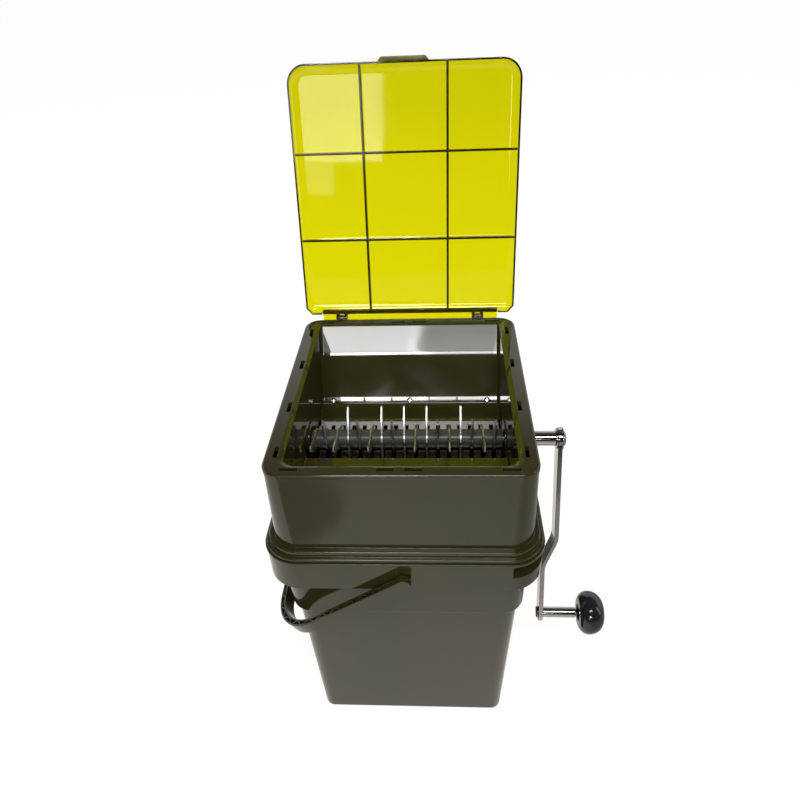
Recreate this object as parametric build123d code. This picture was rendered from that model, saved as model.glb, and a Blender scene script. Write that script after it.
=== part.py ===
from build123d import *
import math
import os

# Square bait bucket with a hand-cranked bait crusher on top, in millimetres.
# The origin is the centre of the bucket's base on the floor. +X is the crank's
# side, +Y is the lid's hinge side and +Z is up. The model is drawn as it stands:
# lid open, handle hanging to the left, crank arm down and a little forward.

# Footprint: every level is this much deeper than it is wide
EXTRA_DEPTH = 32.5

# Bucket: its other widths follow from the top of its band
BAND_TOP_WIDTH = 253.0
BAND_DRAFT = 3.0
BAND_CORNER = 30.0
BAND_EDGE_ROUND = 1.5
STEP_Z = 209.0
STEP_INSET = 6.5
BODY_DRAFT = 8.5
BASE_CORNER = 24.0
BASE_EDGE_ROUND = 6.0
COLLAR_OVERHANG = 11.5
COLLAR_CORNER = 35.0
COLLAR_LOW_Z = 265.0
COLLAR_TOP_Z = 298.0
COLLAR_WALL = 2.4
COLLAR_RIB = 2.0
COLLAR_RIB_LOW_Z = 274.0
COLLAR_RIB_OUTER = 88.0
COLLAR_RIB_INNER = 42.0
NECK_OVERHANG = 2.5
NECK_CORNER = 31.0
NECK_HEIGHT = 7.0
BUCKET_WALL = 2.4
BUCKET_FLOOR = 3.0
NOTCH_FRONT_REACH = 32.0
NOTCH_SIDE_REACH = 36.0
NOTCH_HEIGHT = 15.0
NOTCH_WALL = 2.4

# Bucket handle
HANDLE_EXTRA_REACH = 3.2
HANDLE_THICKNESS = 7.5
HANDLE_WIDTH = 14.0
HANDLE_WALL = 1.8
HANDLE_CORNER = 58.0
HANDLE_HANG_ANGLE = 34.8
HANDLE_GAP = 1.6
HANDLE_RIB_PITCH = 9.0
HANDLE_RIB = 1.3
HANDLE_EYE_RADIUS = 8.0
PIVOT_RADIUS = 4.0
PIVOT_BOSS_RADIUS = 8.0
PIVOT_BOSS_LENGTH = 4.8
PIVOT_HEAD_RADIUS = 5.2
PIVOT_HEAD = 2.0
PIVOT_CLEARANCE = 0.3

# Crusher housing and the ring that seats on the bucket's neck
SEAL_THICKNESS = 2.0
SEAL_GAP = 0.3
SEAL_OVERHANG = 1.0
RING_PLATE = 6.2
RING_UPPER_STEP = 4.75
RING_LOWER_STEP = 8.5
RING_LIP_STEP = 1.15
RING_CORNER = 31.0
RING_LOWER_DROP = 6.5
RING_GROOVE_DROP = 10.0
RING_GROOVE = 0.9
RING_GROOVE_DEPTH = 1.0
RING_EDGE_ROUND = 1.6
RING_SKIRT_WALL = 5.0
RING_LIP_GAP = 0.7
PLUG_FIT = 0.8
PLUG_WALL = 2.0
PLUG_LIFT = 3.0
HOUSING_INSET = 1.0
HOUSING_DRAFT = 2.6
HOUSING_CORNER = 25.0
HOUSING_TOP_CORNER = 18.0
HOUSING_WALL = 2.4
CRANK_HOLE_CLEARANCE = 1.0

# Hopper
RIM_OVERHANG = 0.6
RIM_CORNER = 18.0
RIM_TOP_Z = 405.0
RIM_THICKNESS = 6.0
RIM_EDGE_ROUND = 2.2
RIM_RAIL = 3.0
RIM_RAIL_GAP = 0.4
RIM_BEVEL_SIDE = 5.0
RIM_BEVEL_FRONT = 3.2
RIM_BEVEL_DROP = 1.5
RIM_PLATE_WIDTH = 18.5
MOUTH_CORNER = 12.0
MOUTH_MARGIN = 14.2
HOPPER_WALL = 2.4
BACK_CREASE_DEPTH = 41.0
FRONT_CREASE_DEPTH = 22.0
STEP_Y = 85.0
STEP_TOP_DEPTH = 77.0
STEP_RISE = 7.5
FLOOR_EDGE_Y = 52.0
FLOOR_FALL = 2.5
LEDGE_OUTER_Y = 66.0
LEDGE_DEPTH = 65.0
THROAT_GAP = 3.5
SLOT_LENGTH = 16.0
SLOT_WIDTH = 4.0
SLOT_INSET_SIDE = 10.5
SLOT_INSET_FRONT = 8.4
SLOT_SIDE_OUTER_Y = 110.0
SLOT_SIDE_INNER_Y = 39.6
SLOT_FRONT_OUTER_X = 99.6
SLOT_FRONT_INNER_X = 12.7

# Roller
AXIS_ABOVE_FLOOR = 13.0
SHAFT_RADIUS = 6.0
SHAFT_END_RADIUS = 5.0
SHAFT_TAIL = 2.0
RUNNING_FIT = 0.05
DRUM_RADIUS = 10.6
DRUM_END_GAP = 0.8
BLADE_COUNT = 17
BLADE_LEFT_MARGIN = 3.5
BLADE_RIGHT_MARGIN = 9.1
BLADE_THICKNESS = 2.0
BLADE_HUB_RADIUS = 12.0
BLADE_TIP_RADIUS = 38.0
BLADE_ROOT_HALF = 8.0
BLADE_HOOK_WIDTH = 6.0
BLADE_HOOK_LENGTH = 10.0
BLADE_ORDER = "ACABCABCBABCABCAC"
LEVEL_BLADE_ANGLE = -14.0
UPRIGHT_BLADE_ANGLE = 76.0
SLANTED_BLADE_ANGLE = 121.0

# Bearings
CHEEK_RADIUS = 30.0
BOSS_RADIUS = 20.0
BOSS_HEIGHT = 1.2
BUSH_RADIUS = 9.0
BUSH_FIT = 0.05
BUSH_FLANGE_RADIUS = 12.0
BUSH_FLANGE = 1.8
BUSH_OVERHANG = 2.6
CLIP_THICKNESS = 1.2
CLIP_RADIUS = 9.0
CLIP_GAP = 1.0
CLIP_MOUTH = 8.0

# Combs
COMB_THICKNESS = 2.4
COMB_GAP = 0.2
COMB_SLOT_WIDTH = 5.0
COMB_END_CLEARANCE = 2.2
REAR_NIP_Y = 13.0
REAR_SLOT_END_Y = 46.5
REAR_FLANGE = 13.0
FRONT_NIP_Y = 1.5
FRONT_SLOT_END_Y = 39.0
FRONT_FLANGE = 20.0
COMB_SCREW_INSET = 14.0
COMB_SCREW_RADIUS = 1.75
COMB_SCREW_HEAD_RADIUS = 3.6
COMB_SCREW_HEAD = 2.0
COMB_SCREW_CROWN = 1.6
COMB_SCREW_TAIL = 3.0
SCREW_FIT = 0.1

# Posts and screws that hold the hopper in the housing
POST_Y = 75.0
POST_RADIUS = 4.0
POST_JOINT_DROP = 62.0
POST_SCREW_RADIUS = 1.6
POST_SCREW_HEAD_RADIUS = 3.2
POST_SCREW_HEAD = 2.0
POST_SCREW_REACH = 12.0

# Crank
SLEEVE_RADIUS = 8.25
SLEEVE_GAP = 0.4
ARM_CLEARANCE = 27.0
ARM_THICKNESS = 5.0
ARM_WIDTH = 20.0
ARM_HUB_RADIUS = 12.0
ARM_LENGTH = 216.0
ARM_ANGLE = 20.9
ARM_JOGGLE = 14.3
ARM_JOGGLE_START = 119.0
ARM_JOGGLE_END = 152.0
ARM_BEND_RADIUS = 7.0
HUB_WASHER_RADIUS = 11.3
HUB_WASHER = 1.5
LOCK_WASHER_RADIUS = 12.6
LOCK_WASHER_RING = 10.4
LOCK_WASHER = 1.2
LOCK_TEETH = 12
LOCK_TOOTH_WIDTH = 3.0
HUB_SCREW_HEAD_RADIUS = 9.0
HUB_SCREW_HEAD = 3.4
HUB_SCREW_CROWN = 2.4
HUB_SCREW_RADIUS = 3.0
HUB_SCREW_LENGTH = 14.0
HUB_SOCKET_WIDTH = 5.0
HUB_SOCKET_DEPTH = 2.4

# Knob
SPINDLE_RADIUS = 6.1
SPINDLE_LENGTH = 38.8
SPINDLE_CORE_RADIUS = 4.0
RIVET_RADIUS = 7.0
RIVET_HEIGHT = 2.4
RIVET_CROWN = 1.9
KNOB_RADIUS = 26.0
KNOB_LENGTH = 33.7
KNOB_FIT = 0.08
KNOB_GAP = 0.4
KNOB_FACE_RADIUS = 17.0
KNOB_END_RADIUS = 11.0
KNOB_BELLY = 15.5
KNOB_INNER_BULGE = 2.6
KNOB_OUTER_BULGE = 4.2
KNOB_RECESS_RADIUS = 9.0
KNOB_RECESS = 6.0
KNOB_CAP = 2.0

# Lid
LID_ANGLE = 102.15
LID_OVERHANG = 0.3
LID_FRONT_INSET = 6.05
LID_BACK_S = 4.0
LID_TONGUE_S = 0.5
LID_CORNER = 21.0
LID_TOP_CORNER = 12.0
LID_HEIGHT = 10.0
LID_WALL = 2.3
LID_SEAT_GAP = 0.4
LID_COVE_WIDTH = 12.0
LID_COVE_HEIGHT = 7.0
LID_BACK_CUT_X = 7.0
LID_BACK_CUT_S = 12.0
LID_BACK_LIFT = 4.6
LID_RIB = 2.2
LID_RIB_X = 47.0
LID_RIB_NEAR_S = 93.5
LID_RIB_FAR_S = 189.5
LID_RIB_CLEAR = 1.6
LATCH_WIDTH = 55.0
LATCH_REACH = 4.4
LATCH_THICKNESS = 3.2
LATCH_SLANT = 4.0

# Hinge
HINGE_INSET = 43.0
HINGE_BEHIND_RIM = 2.25
HINGE_ABOVE_RIM = 1.0
HINGE_RADIUS = 3.2
HINGE_PIN_RADIUS = 1.25
HINGE_FIT = 0.08
HINGE_EAR = 5.0
HINGE_LUG = 4.0
HINGE_GAP = 0.4

# Widths that follow from one another
BAND_WIDTH = BAND_TOP_WIDTH - 2 * BAND_DRAFT
BODY_TOP_WIDTH = BAND_WIDTH - 2 * STEP_INSET
BASE_WIDTH = BODY_TOP_WIDTH - 2 * BODY_DRAFT
COLLAR_WIDTH = BAND_TOP_WIDTH + 2 * COLLAR_OVERHANG
NECK_WIDTH = BAND_TOP_WIDTH + 2 * NECK_OVERHANG
RING_UPPER_WIDTH = NECK_WIDTH + 2 * RING_UPPER_STEP
RING_LOWER_WIDTH = NECK_WIDTH + 2 * RING_LOWER_STEP
RING_LIP_WIDTH = COLLAR_WIDTH + 2 * RING_LIP_STEP
HOUSING_LOW_WIDTH = NECK_WIDTH - 2 * HOUSING_INSET
HOUSING_TOP_WIDTH = HOUSING_LOW_WIDTH - 2 * HOUSING_DRAFT
RIM_WIDTH = HOUSING_TOP_WIDTH + 2 * RIM_OVERHANG
MOUTH_WIDTH = RIM_WIDTH - 2 * RIM_PLATE_WIDTH
LID_WIDTH = RIM_WIDTH + 2 * LID_OVERHANG

# Levels and places that follow from the sizes above
NECK_TOP_Z = COLLAR_TOP_Z + NECK_HEIGHT
RING_LOW_Z = NECK_TOP_Z + SEAL_GAP + SEAL_THICKNESS
RING_TOP_Z = RING_LOW_Z + RING_PLATE
RIM_LOW_Z = RIM_TOP_Z - RIM_THICKNESS
RIM_DEPTH = RIM_WIDTH + EXTRA_DEPTH
STEP_LOW_DEPTH = STEP_TOP_DEPTH + STEP_RISE
FLOOR_EDGE_DEPTH = STEP_LOW_DEPTH + FLOOR_FALL
AXIS_Z = RIM_TOP_Z - FLOOR_EDGE_DEPTH + AXIS_ABOVE_FLOOR
HINGE_Y = RIM_DEPTH / 2 + HINGE_BEHIND_RIM
HINGE_Z = RIM_TOP_Z + HINGE_ABOVE_RIM
HINGE_X = RIM_WIDTH / 2 - HINGE_INSET
LID_FRONT_S = HINGE_Y + RIM_DEPTH / 2 - LID_FRONT_INSET
PIVOT_Z = (COLLAR_LOW_Z + COLLAR_TOP_Z) / 2
COLLAR_HALF_DEPTH = (COLLAR_WIDTH + EXTRA_DEPTH) / 2
SHELF_Z = COLLAR_TOP_Z - COLLAR_WALL
HANDLE_HALF_SPAN = (RING_LIP_WIDTH + EXTRA_DEPTH) / 2 + HANDLE_GAP + HANDLE_THICKNESS
HANDLE_REACH = HANDLE_HALF_SPAN + HANDLE_EXTRA_REACH
MOUTH_HALF = MOUTH_WIDTH / 2
MOUTH_HALF_DEPTH = RIM_DEPTH / 2 - MOUTH_MARGIN
CHEEK_FACE_X = MOUTH_HALF + HOPPER_WALL
THROAT_Y = BLADE_TIP_RADIUS + THROAT_GAP
FLOOR_EDGE_Z = RIM_TOP_Z - FLOOR_EDGE_DEPTH
COMB_TOP_Z = FLOOR_EDGE_Z - HOPPER_WALL - COMB_GAP
COMB_LOW_Z = COMB_TOP_Z - COMB_THICKNESS
COMB_LENGTH = MOUTH_WIDTH - 2 * COMB_END_CLEARANCE
REAR_SCREW_Z = RIM_TOP_Z - (STEP_TOP_DEPTH + STEP_LOW_DEPTH) / 2
FRONT_SCREW_Z = COMB_TOP_Z + FRONT_FLANGE / 2
POST_JOINT_Z = RIM_LOW_Z - POST_JOINT_DROP
DRUM_HALF = MOUTH_HALF - BOSS_HEIGHT - DRUM_END_GAP
FIRST_BLADE_X = BLADE_LEFT_MARGIN - DRUM_HALF
BLADE_PITCH = (2 * DRUM_HALF - BLADE_LEFT_MARGIN - BLADE_RIGHT_MARGIN) / (BLADE_COUNT - 1)
COMB_SCREW_X = MOUTH_HALF - COMB_SCREW_INSET
ARM_INNER_FACE_X = COLLAR_WIDTH / 2 + ARM_CLEARANCE
CLIP_X = -(CHEEK_FACE_X + BUSH_OVERHANG + CLIP_GAP)
ARM_OUTER_FACE_X = ARM_INNER_FACE_X + ARM_THICKNESS
LID_LOW_Z = RIM_TOP_Z + LID_SEAT_GAP
LID_TOP_Z = LID_LOW_Z + LID_HEIGHT
LID_BACK_Y = HINGE_Y - LID_BACK_S

# Lengths of cutting tools: past a face, and past the whole model
PAST = 1.0
FAR = 500.0


def blade_x(index):
    """Place of a blade along the roller."""
    return FIRST_BLADE_X + BLADE_PITCH * index


def level(width, corner, z):
    """Rounded outline at one height."""
    return Plane.XY.offset(z) * RectangleRounded(width, width + EXTRA_DEPTH, corner)


def block(width, corner, z_low, z_high):
    """Upright block with rounded corners."""
    return extrude(level(width, corner, z_low), z_high - z_low)


def tapered(low, high):
    """Block between two outlines, each given as width, corner radius and height."""
    return loft([level(*low), level(*high)], ruled=True)


def crown(width, corner, z_low, z_high, radius):
    """Block whose top edge is rounded."""
    solid = block(width, corner, z_low, z_high)
    return fillet(solid.edges().group_by(Axis.Z)[-1], radius)


def rod_at(radius, x_low, x_high, y, z):
    """Round bar along X at a given place."""
    face = Plane((x_low, y, z), x_dir=(0, 1, 0), z_dir=(1, 0, 0)) * Circle(radius)
    return extrude(face, x_high - x_low)


def rod(radius, x_low, x_high):
    """Round bar along X on the roller's axis."""
    return rod_at(radius, x_low, x_high, 0, AXIS_Z)


def tube(radius, bore, x_low, x_high):
    """Round bar along X on the roller's axis, with a hole through it."""
    return rod(radius, x_low, x_high) - rod(bore, x_low - PAST, x_high + PAST)


def post(radius, x, y, z_low, z_high):
    """Upright round bar."""
    return extrude(Plane.XY.offset(z_low) * Pos(x, y) * Circle(radius), z_high - z_low)


def peg(radius, x, z, y_one, y_two):
    """Round bar along Y between two places in either order."""
    low, high = sorted((y_one, y_two))
    face = Plane((x, low, z), x_dir=(1, 0, 0), z_dir=(0, 1, 0)) * Circle(radius)
    return extrude(face, high - low)


def bar(x_one, x_two, y_one, y_two, z_one, z_two):
    """Square-edged block between two corners in either order."""
    size = Box(abs(x_two - x_one), abs(y_two - y_one), abs(z_two - z_one))
    return Pos((x_one + x_two) / 2, (y_one + y_two) / 2, (z_one + z_two) / 2) * size


def side_prism(points, half_length):
    """Solid with a Y and Z outline, reaching the same way to both sides in X."""
    outline = make_face(Plane.YZ * Polyline(*points, close=True))
    return extrude(outline, half_length, both=True)


# Bucket

def band_solid():
    """Outside of the wider band above the step."""
    return tapered((BAND_WIDTH, BAND_CORNER, STEP_Z), (BAND_TOP_WIDTH, BAND_CORNER, COLLAR_TOP_Z))


def make_bucket():
    """Hollow body, wider band and the neck that the crusher seats on."""
    body = tapered((BASE_WIDTH, BASE_CORNER, 0), (BODY_TOP_WIDTH, BASE_CORNER, STEP_Z))
    body = fillet(body.edges().group_by(Axis.Z)[0], BASE_EDGE_ROUND)
    band = band_solid()
    band = fillet(band.edges().group_by(Axis.Z)[0], BAND_EDGE_ROUND)
    return body + band + neck_solid() - bucket_room()


def neck_solid():
    """Outside of the neck, down to the underside of the collar's shelf."""
    return block(NECK_WIDTH, NECK_CORNER, SHELF_Z, NECK_TOP_Z)


def make_collar():
    """Hanging collar round the top of the bucket, with its ribs and pivot bosses.

    On the real bucket it's one moulding with the body. It's a solid of its own here,
    so that the simple collision shapes leave the room under it and in the bucket free.
    """
    collar = crown(COLLAR_WIDTH, COLLAR_CORNER, COLLAR_LOW_Z, COLLAR_TOP_Z, COLLAR_WALL / 2)
    room_width = COLLAR_WIDTH - 2 * COLLAR_WALL
    collar -= block(room_width, COLLAR_CORNER - COLLAR_WALL, COLLAR_LOW_Z - PAST, SHELF_Z)
    solid = collar + collar_ribs() + pivot_bosses() - band_solid() - neck_solid()
    solid = cut_notch(solid)
    for side in (-1, 1):
        through = side * (COLLAR_HALF_DEPTH - COLLAR_WALL - PIVOT_BOSS_LENGTH)
        outside = side * (COLLAR_HALF_DEPTH + PAST)
        solid -= peg(PIVOT_RADIUS + PIVOT_CLEARANCE, 0, PIVOT_Z, through, outside)
    return solid


def bucket_room():
    """The bucket's inside, from its floor to its open top."""
    wall = 2 * BUCKET_WALL
    body_corner = BASE_CORNER - BUCKET_WALL
    band_corner = BAND_CORNER - BUCKET_WALL
    step_z = STEP_Z + BUCKET_WALL
    room = tapered(
        (BASE_WIDTH - wall, body_corner, BUCKET_FLOOR),
        (BODY_TOP_WIDTH - wall, body_corner, step_z),
    )
    room += tapered(
        (BAND_WIDTH - wall, band_corner, step_z),
        (BAND_TOP_WIDTH - wall, band_corner, COLLAR_TOP_Z),
    )
    neck_corner = NECK_CORNER - BUCKET_WALL
    return room + block(NECK_WIDTH - wall, neck_corner, COLLAR_TOP_Z, NECK_TOP_Z + PAST)


def collar_ribs():
    """Upright ribs that tie the hanging collar to the band."""
    half = COLLAR_WIDTH / 2 - COLLAR_WALL / 2
    half_depth = half + EXTRA_DEPTH / 2
    root = BAND_TOP_WIDTH / 2 - BUCKET_WALL / 2
    root_depth = root + EXTRA_DEPTH / 2
    thin = COLLAR_RIB / 2
    ribs = []
    for place in (-COLLAR_RIB_OUTER, -COLLAR_RIB_INNER, COLLAR_RIB_INNER, COLLAR_RIB_OUTER):
        for side in (-1, 1):
            level_z = (COLLAR_RIB_LOW_Z, SHELF_Z + COLLAR_WALL / 2)
            ribs.append(bar(side * root, side * half, place - thin, place + thin, *level_z))
            ribs.append(bar(place - thin, place + thin, side * root_depth, side * half_depth, *level_z))
    return ribs


def pivot_bosses():
    """Thick rounds inside the collar where the handle's pins pass."""
    inner = COLLAR_HALF_DEPTH - PIVOT_BOSS_LENGTH
    outer = COLLAR_HALF_DEPTH - COLLAR_WALL / 2
    return [peg(PIVOT_BOSS_RADIUS, 0, PIVOT_Z, side * inner, side * outer) for side in (-1, 1)]


def cut_notch(solid):
    """Finger notch for prising off the crusher, at the collar's front right corner."""
    x_low = COLLAR_WIDTH / 2 - NOTCH_FRONT_REACH
    y_high = NOTCH_SIDE_REACH - COLLAR_HALF_DEPTH
    z_low = COLLAR_TOP_Z - NOTCH_HEIGHT
    opening = bar(x_low, FAR, -FAR, y_high, z_low, COLLAR_TOP_Z)
    solid -= opening
    walled = bar(x_low - NOTCH_WALL, FAR, -FAR, y_high + NOTCH_WALL, z_low - NOTCH_WALL, SHELF_Z)
    collar = block(COLLAR_WIDTH, COLLAR_CORNER, z_low - NOTCH_WALL, SHELF_Z)
    return solid + ((collar & walled) - opening - band_solid())


# Handle

def handle_ring(outer_inset, inner_inset):
    """Flat outline of the bail between two insets from its outer face."""
    outlines = []
    for inset in (outer_inset, inner_inset):
        size = (2 * (HANDLE_REACH - inset), 2 * (HANDLE_HALF_SPAN - inset))
        outlines.append(RectangleRounded(*size, HANDLE_CORNER - inset))
    left_half = Pos(-FAR / 2, 0) * Rectangle(FAR, FAR)
    return (outlines[0] - outlines[1]) & left_half


def handle_path():
    """Centre line of the bail, from the front pivot round to the back one."""
    mid_x = HANDLE_REACH - HANDLE_THICKNESS / 2
    mid_y = HANDLE_HALF_SPAN - HANDLE_THICKNESS / 2
    corners = [(0, -mid_y), (-mid_x, -mid_y), (-mid_x, mid_y), (0, mid_y)]
    return FilletPolyline(*corners, radius=HANDLE_CORNER - HANDLE_THICKNESS / 2)


def handle_ribs():
    """Zigzag ribs between the bail's two walls."""
    path = handle_path()
    spare = path.length - 4 * HANDLE_EYE_RADIUS
    count = int(spare / HANDLE_RIB_PITCH)
    start = (path.length - count * HANDLE_RIB_PITCH) / 2
    rise = HANDLE_THICKNESS - HANDLE_WALL
    slope = math.degrees(math.atan2(rise, HANDLE_RIB_PITCH))
    ribs = []
    for index in range(count):
        along = (start + HANDLE_RIB_PITCH * (index + 0.5)) / path.length
        heading = path % along
        turn = math.degrees(math.atan2(heading.Y, heading.X)) + (slope if index % 2 else -slope)
        rib = Rectangle(math.hypot(HANDLE_RIB_PITCH, rise), HANDLE_RIB)
        ribs.append(Pos(path @ along) * Rot(0, 0, turn) * rib)
    return (Sketch() + ribs) & handle_ring(HANDLE_WALL / 2, HANDLE_THICKNESS - HANDLE_WALL / 2)


def make_handle():
    """Bail with two thin walls, a web and zigzag ribs, and a pivot pin at each end."""
    walls = handle_ring(0, HANDLE_WALL)
    walls += handle_ring(HANDLE_THICKNESS - HANDLE_WALL, HANDLE_THICKNESS)
    walls += handle_ribs()
    bail = extrude(walls, HANDLE_WIDTH / 2, both=True)
    bail += extrude(handle_ring(0, HANDLE_THICKNESS), HANDLE_WALL / 2, both=True)
    inner_face = HANDLE_HALF_SPAN - HANDLE_THICKNESS
    boss_face = COLLAR_HALF_DEPTH - PIVOT_BOSS_LENGTH - PIVOT_CLEARANCE
    for side in (-1, 1):
        bail += peg(HANDLE_EYE_RADIUS, 0, 0, side * HANDLE_HALF_SPAN, side * inner_face)
        bail += peg(PIVOT_RADIUS, 0, 0, side * HANDLE_HALF_SPAN, side * boss_face)
        bail += peg(PIVOT_HEAD_RADIUS, 0, 0, side * boss_face, side * (boss_face - PIVOT_HEAD))
    return Pos(0, 0, PIVOT_Z) * Rot(0, -HANDLE_HANG_ANGLE, 0) * bail


# Crusher housing

def make_housing():
    """Outer box of the crusher with the stepped ring that closes on the bucket."""
    solid = ring_outside() - ring_room() + housing_walls()
    hole = SLEEVE_RADIUS + CRANK_HOLE_CLEARANCE
    solid -= rod(hole, CHEEK_FACE_X, FAR)
    for x, y in post_places():
        wall_x = math.copysign(HOUSING_LOW_WIDTH / 2 - HOUSING_WALL / 2, x)
        solid += post(POST_RADIUS, x, y, RING_LOW_Z, POST_JOINT_Z - COMB_GAP)
        solid += bar(x, wall_x, y - POST_RADIUS, y + POST_RADIUS, RING_LOW_Z, RING_TOP_Z)
        solid -= post(POST_SCREW_RADIUS + SCREW_FIT, x, y, 0, FAR)
        head_z = RING_LOW_Z + POST_SCREW_HEAD
        solid -= post(POST_SCREW_HEAD_RADIUS + SCREW_FIT, x, y, 0, head_z)
    return solid


def ring_outside():
    """Stepped outside of the snap ring, with its groove and lower lip."""
    groove_z = RING_TOP_Z - RING_GROOVE_DROP
    low_z = COLLAR_TOP_Z + RING_LIP_GAP
    ring = crown(RING_UPPER_WIDTH, RING_CORNER, groove_z, RING_TOP_Z, RING_EDGE_ROUND)
    step_z = RING_TOP_Z - RING_LOWER_DROP
    lower_corner = RING_CORNER + (RING_LOWER_WIDTH - RING_UPPER_WIDTH) / 2
    ring += crown(RING_LOWER_WIDTH, lower_corner, groove_z, step_z, RING_EDGE_ROUND)
    groove_width = RING_LOWER_WIDTH - 2 * RING_GROOVE_DEPTH
    ring += block(groove_width, lower_corner - RING_GROOVE_DEPTH, low_z, groove_z)
    lip_corner = RING_CORNER + (RING_LIP_WIDTH - RING_UPPER_WIDTH) / 2
    return ring + block(RING_LIP_WIDTH, lip_corner, low_z, groove_z - RING_GROOVE)


def ring_room():
    """Space inside the snap ring: the channel over the neck and the way through."""
    inset = RING_GROOVE_DEPTH + RING_SKIRT_WALL
    skirt = RING_LOWER_WIDTH - 2 * inset
    skirt_corner = RING_CORNER + (skirt - RING_UPPER_WIDTH) / 2
    channel = block(skirt, skirt_corner, COLLAR_TOP_Z, RING_LOW_Z)
    plug = plug_width()
    plug_corner = NECK_CORNER - BUCKET_WALL - PLUG_FIT
    channel -= block(plug, plug_corner, COLLAR_TOP_Z + PLUG_LIFT, RING_LOW_Z)
    inner = plug - 2 * PLUG_WALL
    return channel + block(inner, plug_corner - PLUG_WALL, COLLAR_TOP_Z, RING_TOP_Z + PAST)


def plug_width():
    """Outer width of the wall that drops inside the bucket's neck."""
    return NECK_WIDTH - 2 * (BUCKET_WALL + PLUG_FIT)


def housing_walls():
    """Four leaning walls of the box."""
    inset = 2 * HOUSING_WALL
    walls = tapered(
        (HOUSING_LOW_WIDTH, HOUSING_CORNER, RING_TOP_Z),
        (HOUSING_TOP_WIDTH, HOUSING_TOP_CORNER, RIM_LOW_Z),
    )
    return walls - tapered(
        (HOUSING_LOW_WIDTH - inset, HOUSING_CORNER - HOUSING_WALL, RING_TOP_Z),
        (HOUSING_TOP_WIDTH - inset, HOUSING_TOP_CORNER - HOUSING_WALL, RIM_LOW_Z),
    )


def post_places():
    """The four posts, in the middle of the space between hopper and housing."""
    x = (CHEEK_FACE_X + HOUSING_TOP_WIDTH / 2 - HOUSING_WALL) / 2
    return [(side_x * x, side_y * POST_Y) for side_x in (-1, 1) for side_y in (-1, 1)]


def make_housing_screws():
    """Four screws from below, through the housing's posts into the hopper's."""
    screws = []
    head_z = RING_LOW_Z + POST_SCREW_HEAD
    for x, y in post_places():
        head = post(POST_SCREW_HEAD_RADIUS, x, y, RING_LOW_Z, head_z)
        tip_z = POST_JOINT_Z + POST_SCREW_REACH
        screws.append(head + post(POST_SCREW_RADIUS, x, y, head_z, tip_z))
    return Compound(children=screws)


def make_seal():
    """Flat rubber seal under the ring's plate, over the top of the bucket's neck."""
    outer = NECK_WIDTH + 2 * SEAL_OVERHANG
    low_z = NECK_TOP_Z + SEAL_GAP
    seal = block(outer, NECK_CORNER + SEAL_OVERHANG, low_z, RING_LOW_Z)
    inner_corner = NECK_CORNER - BUCKET_WALL
    return seal - block(NECK_WIDTH - 2 * BUCKET_WALL, inner_corner, low_z - PAST, RING_LOW_Z + PAST)


# Hopper

def hopper_prism(wall, top_z):
    """The funnel shape from mouth to throat, grown outwards by a wall thickness."""
    back = MOUTH_HALF_DEPTH + wall
    step = STEP_Y + wall
    crease_rise = wall / 2
    points = [
        (back, top_z),
        (back, RIM_TOP_Z - BACK_CREASE_DEPTH - crease_rise),
        (step, RIM_TOP_Z - STEP_TOP_DEPTH - crease_rise),
        (step, RIM_TOP_Z - STEP_LOW_DEPTH - wall),
        (FLOOR_EDGE_Y, FLOOR_EDGE_Z - wall),
        (-THROAT_Y - wall, FLOOR_EDGE_Z - wall),
        (-THROAT_Y - wall, RIM_TOP_Z - LEDGE_DEPTH - wall),
        (-LEDGE_OUTER_Y - crease_rise, RIM_TOP_Z - LEDGE_DEPTH - wall),
        (-back, RIM_TOP_Z - FRONT_CREASE_DEPTH - crease_rise),
        (-back, top_z),
    ]
    solid = side_prism(points, MOUTH_HALF + wall)
    upright = solid.edges().filter_by(Axis.Z).filter_by(lambda edge: abs(edge.center().Y) > back - PAST)
    return fillet(upright, MOUTH_CORNER + wall)


def make_hopper():
    """Rim plate with slots, funnel walls, bearing cheeks, posts and hinge ears."""
    solid = crown(RIM_WIDTH, RIM_CORNER, RIM_LOW_Z, RIM_TOP_Z, RIM_EDGE_ROUND) + rim_rail()
    solid += hopper_prism(HOPPER_WALL, RIM_LOW_Z)
    for face_x in (-CHEEK_FACE_X, MOUTH_HALF):
        solid += rod(CHEEK_RADIUS, face_x, face_x + HOPPER_WALL)
    for x, y in post_places():
        solid += post(POST_RADIUS, x, y, POST_JOINT_Z, RIM_LOW_Z)
    solid -= hopper_prism(0, RIM_TOP_Z + PAST)
    throat = (-MOUTH_HALF, MOUTH_HALF, -THROAT_Y, FLOOR_EDGE_Y)
    solid -= bar(*throat, FLOOR_EDGE_Z - CHEEK_RADIUS, FLOOR_EDGE_Z + PAST)
    solid -= mouth_bevel()
    boss_face = MOUTH_HALF - BOSS_HEIGHT
    solid += [rod(BOSS_RADIUS, boss_face, MOUTH_HALF), rod(BOSS_RADIUS, -MOUTH_HALF, -boss_face)]
    solid -= rod(BUSH_RADIUS + BUSH_FIT, -FAR, FAR)
    for x, y in post_places():
        solid -= post(POST_SCREW_RADIUS + SCREW_FIT, x, y, 0, POST_JOINT_Z + POST_SCREW_REACH + PAST)
    solid -= rim_slots()
    hole = COMB_SCREW_RADIUS + SCREW_FIT
    for x in comb_screw_places():
        solid -= peg(hole, x, REAR_SCREW_Z, STEP_Y - PAST, STEP_Y + HOPPER_WALL + PAST)
        solid -= peg(hole, x, FRONT_SCREW_Z, PAST - THROAT_Y, -THROAT_Y - HOPPER_WALL - PAST)
    return solid + hinge_ears()


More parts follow.
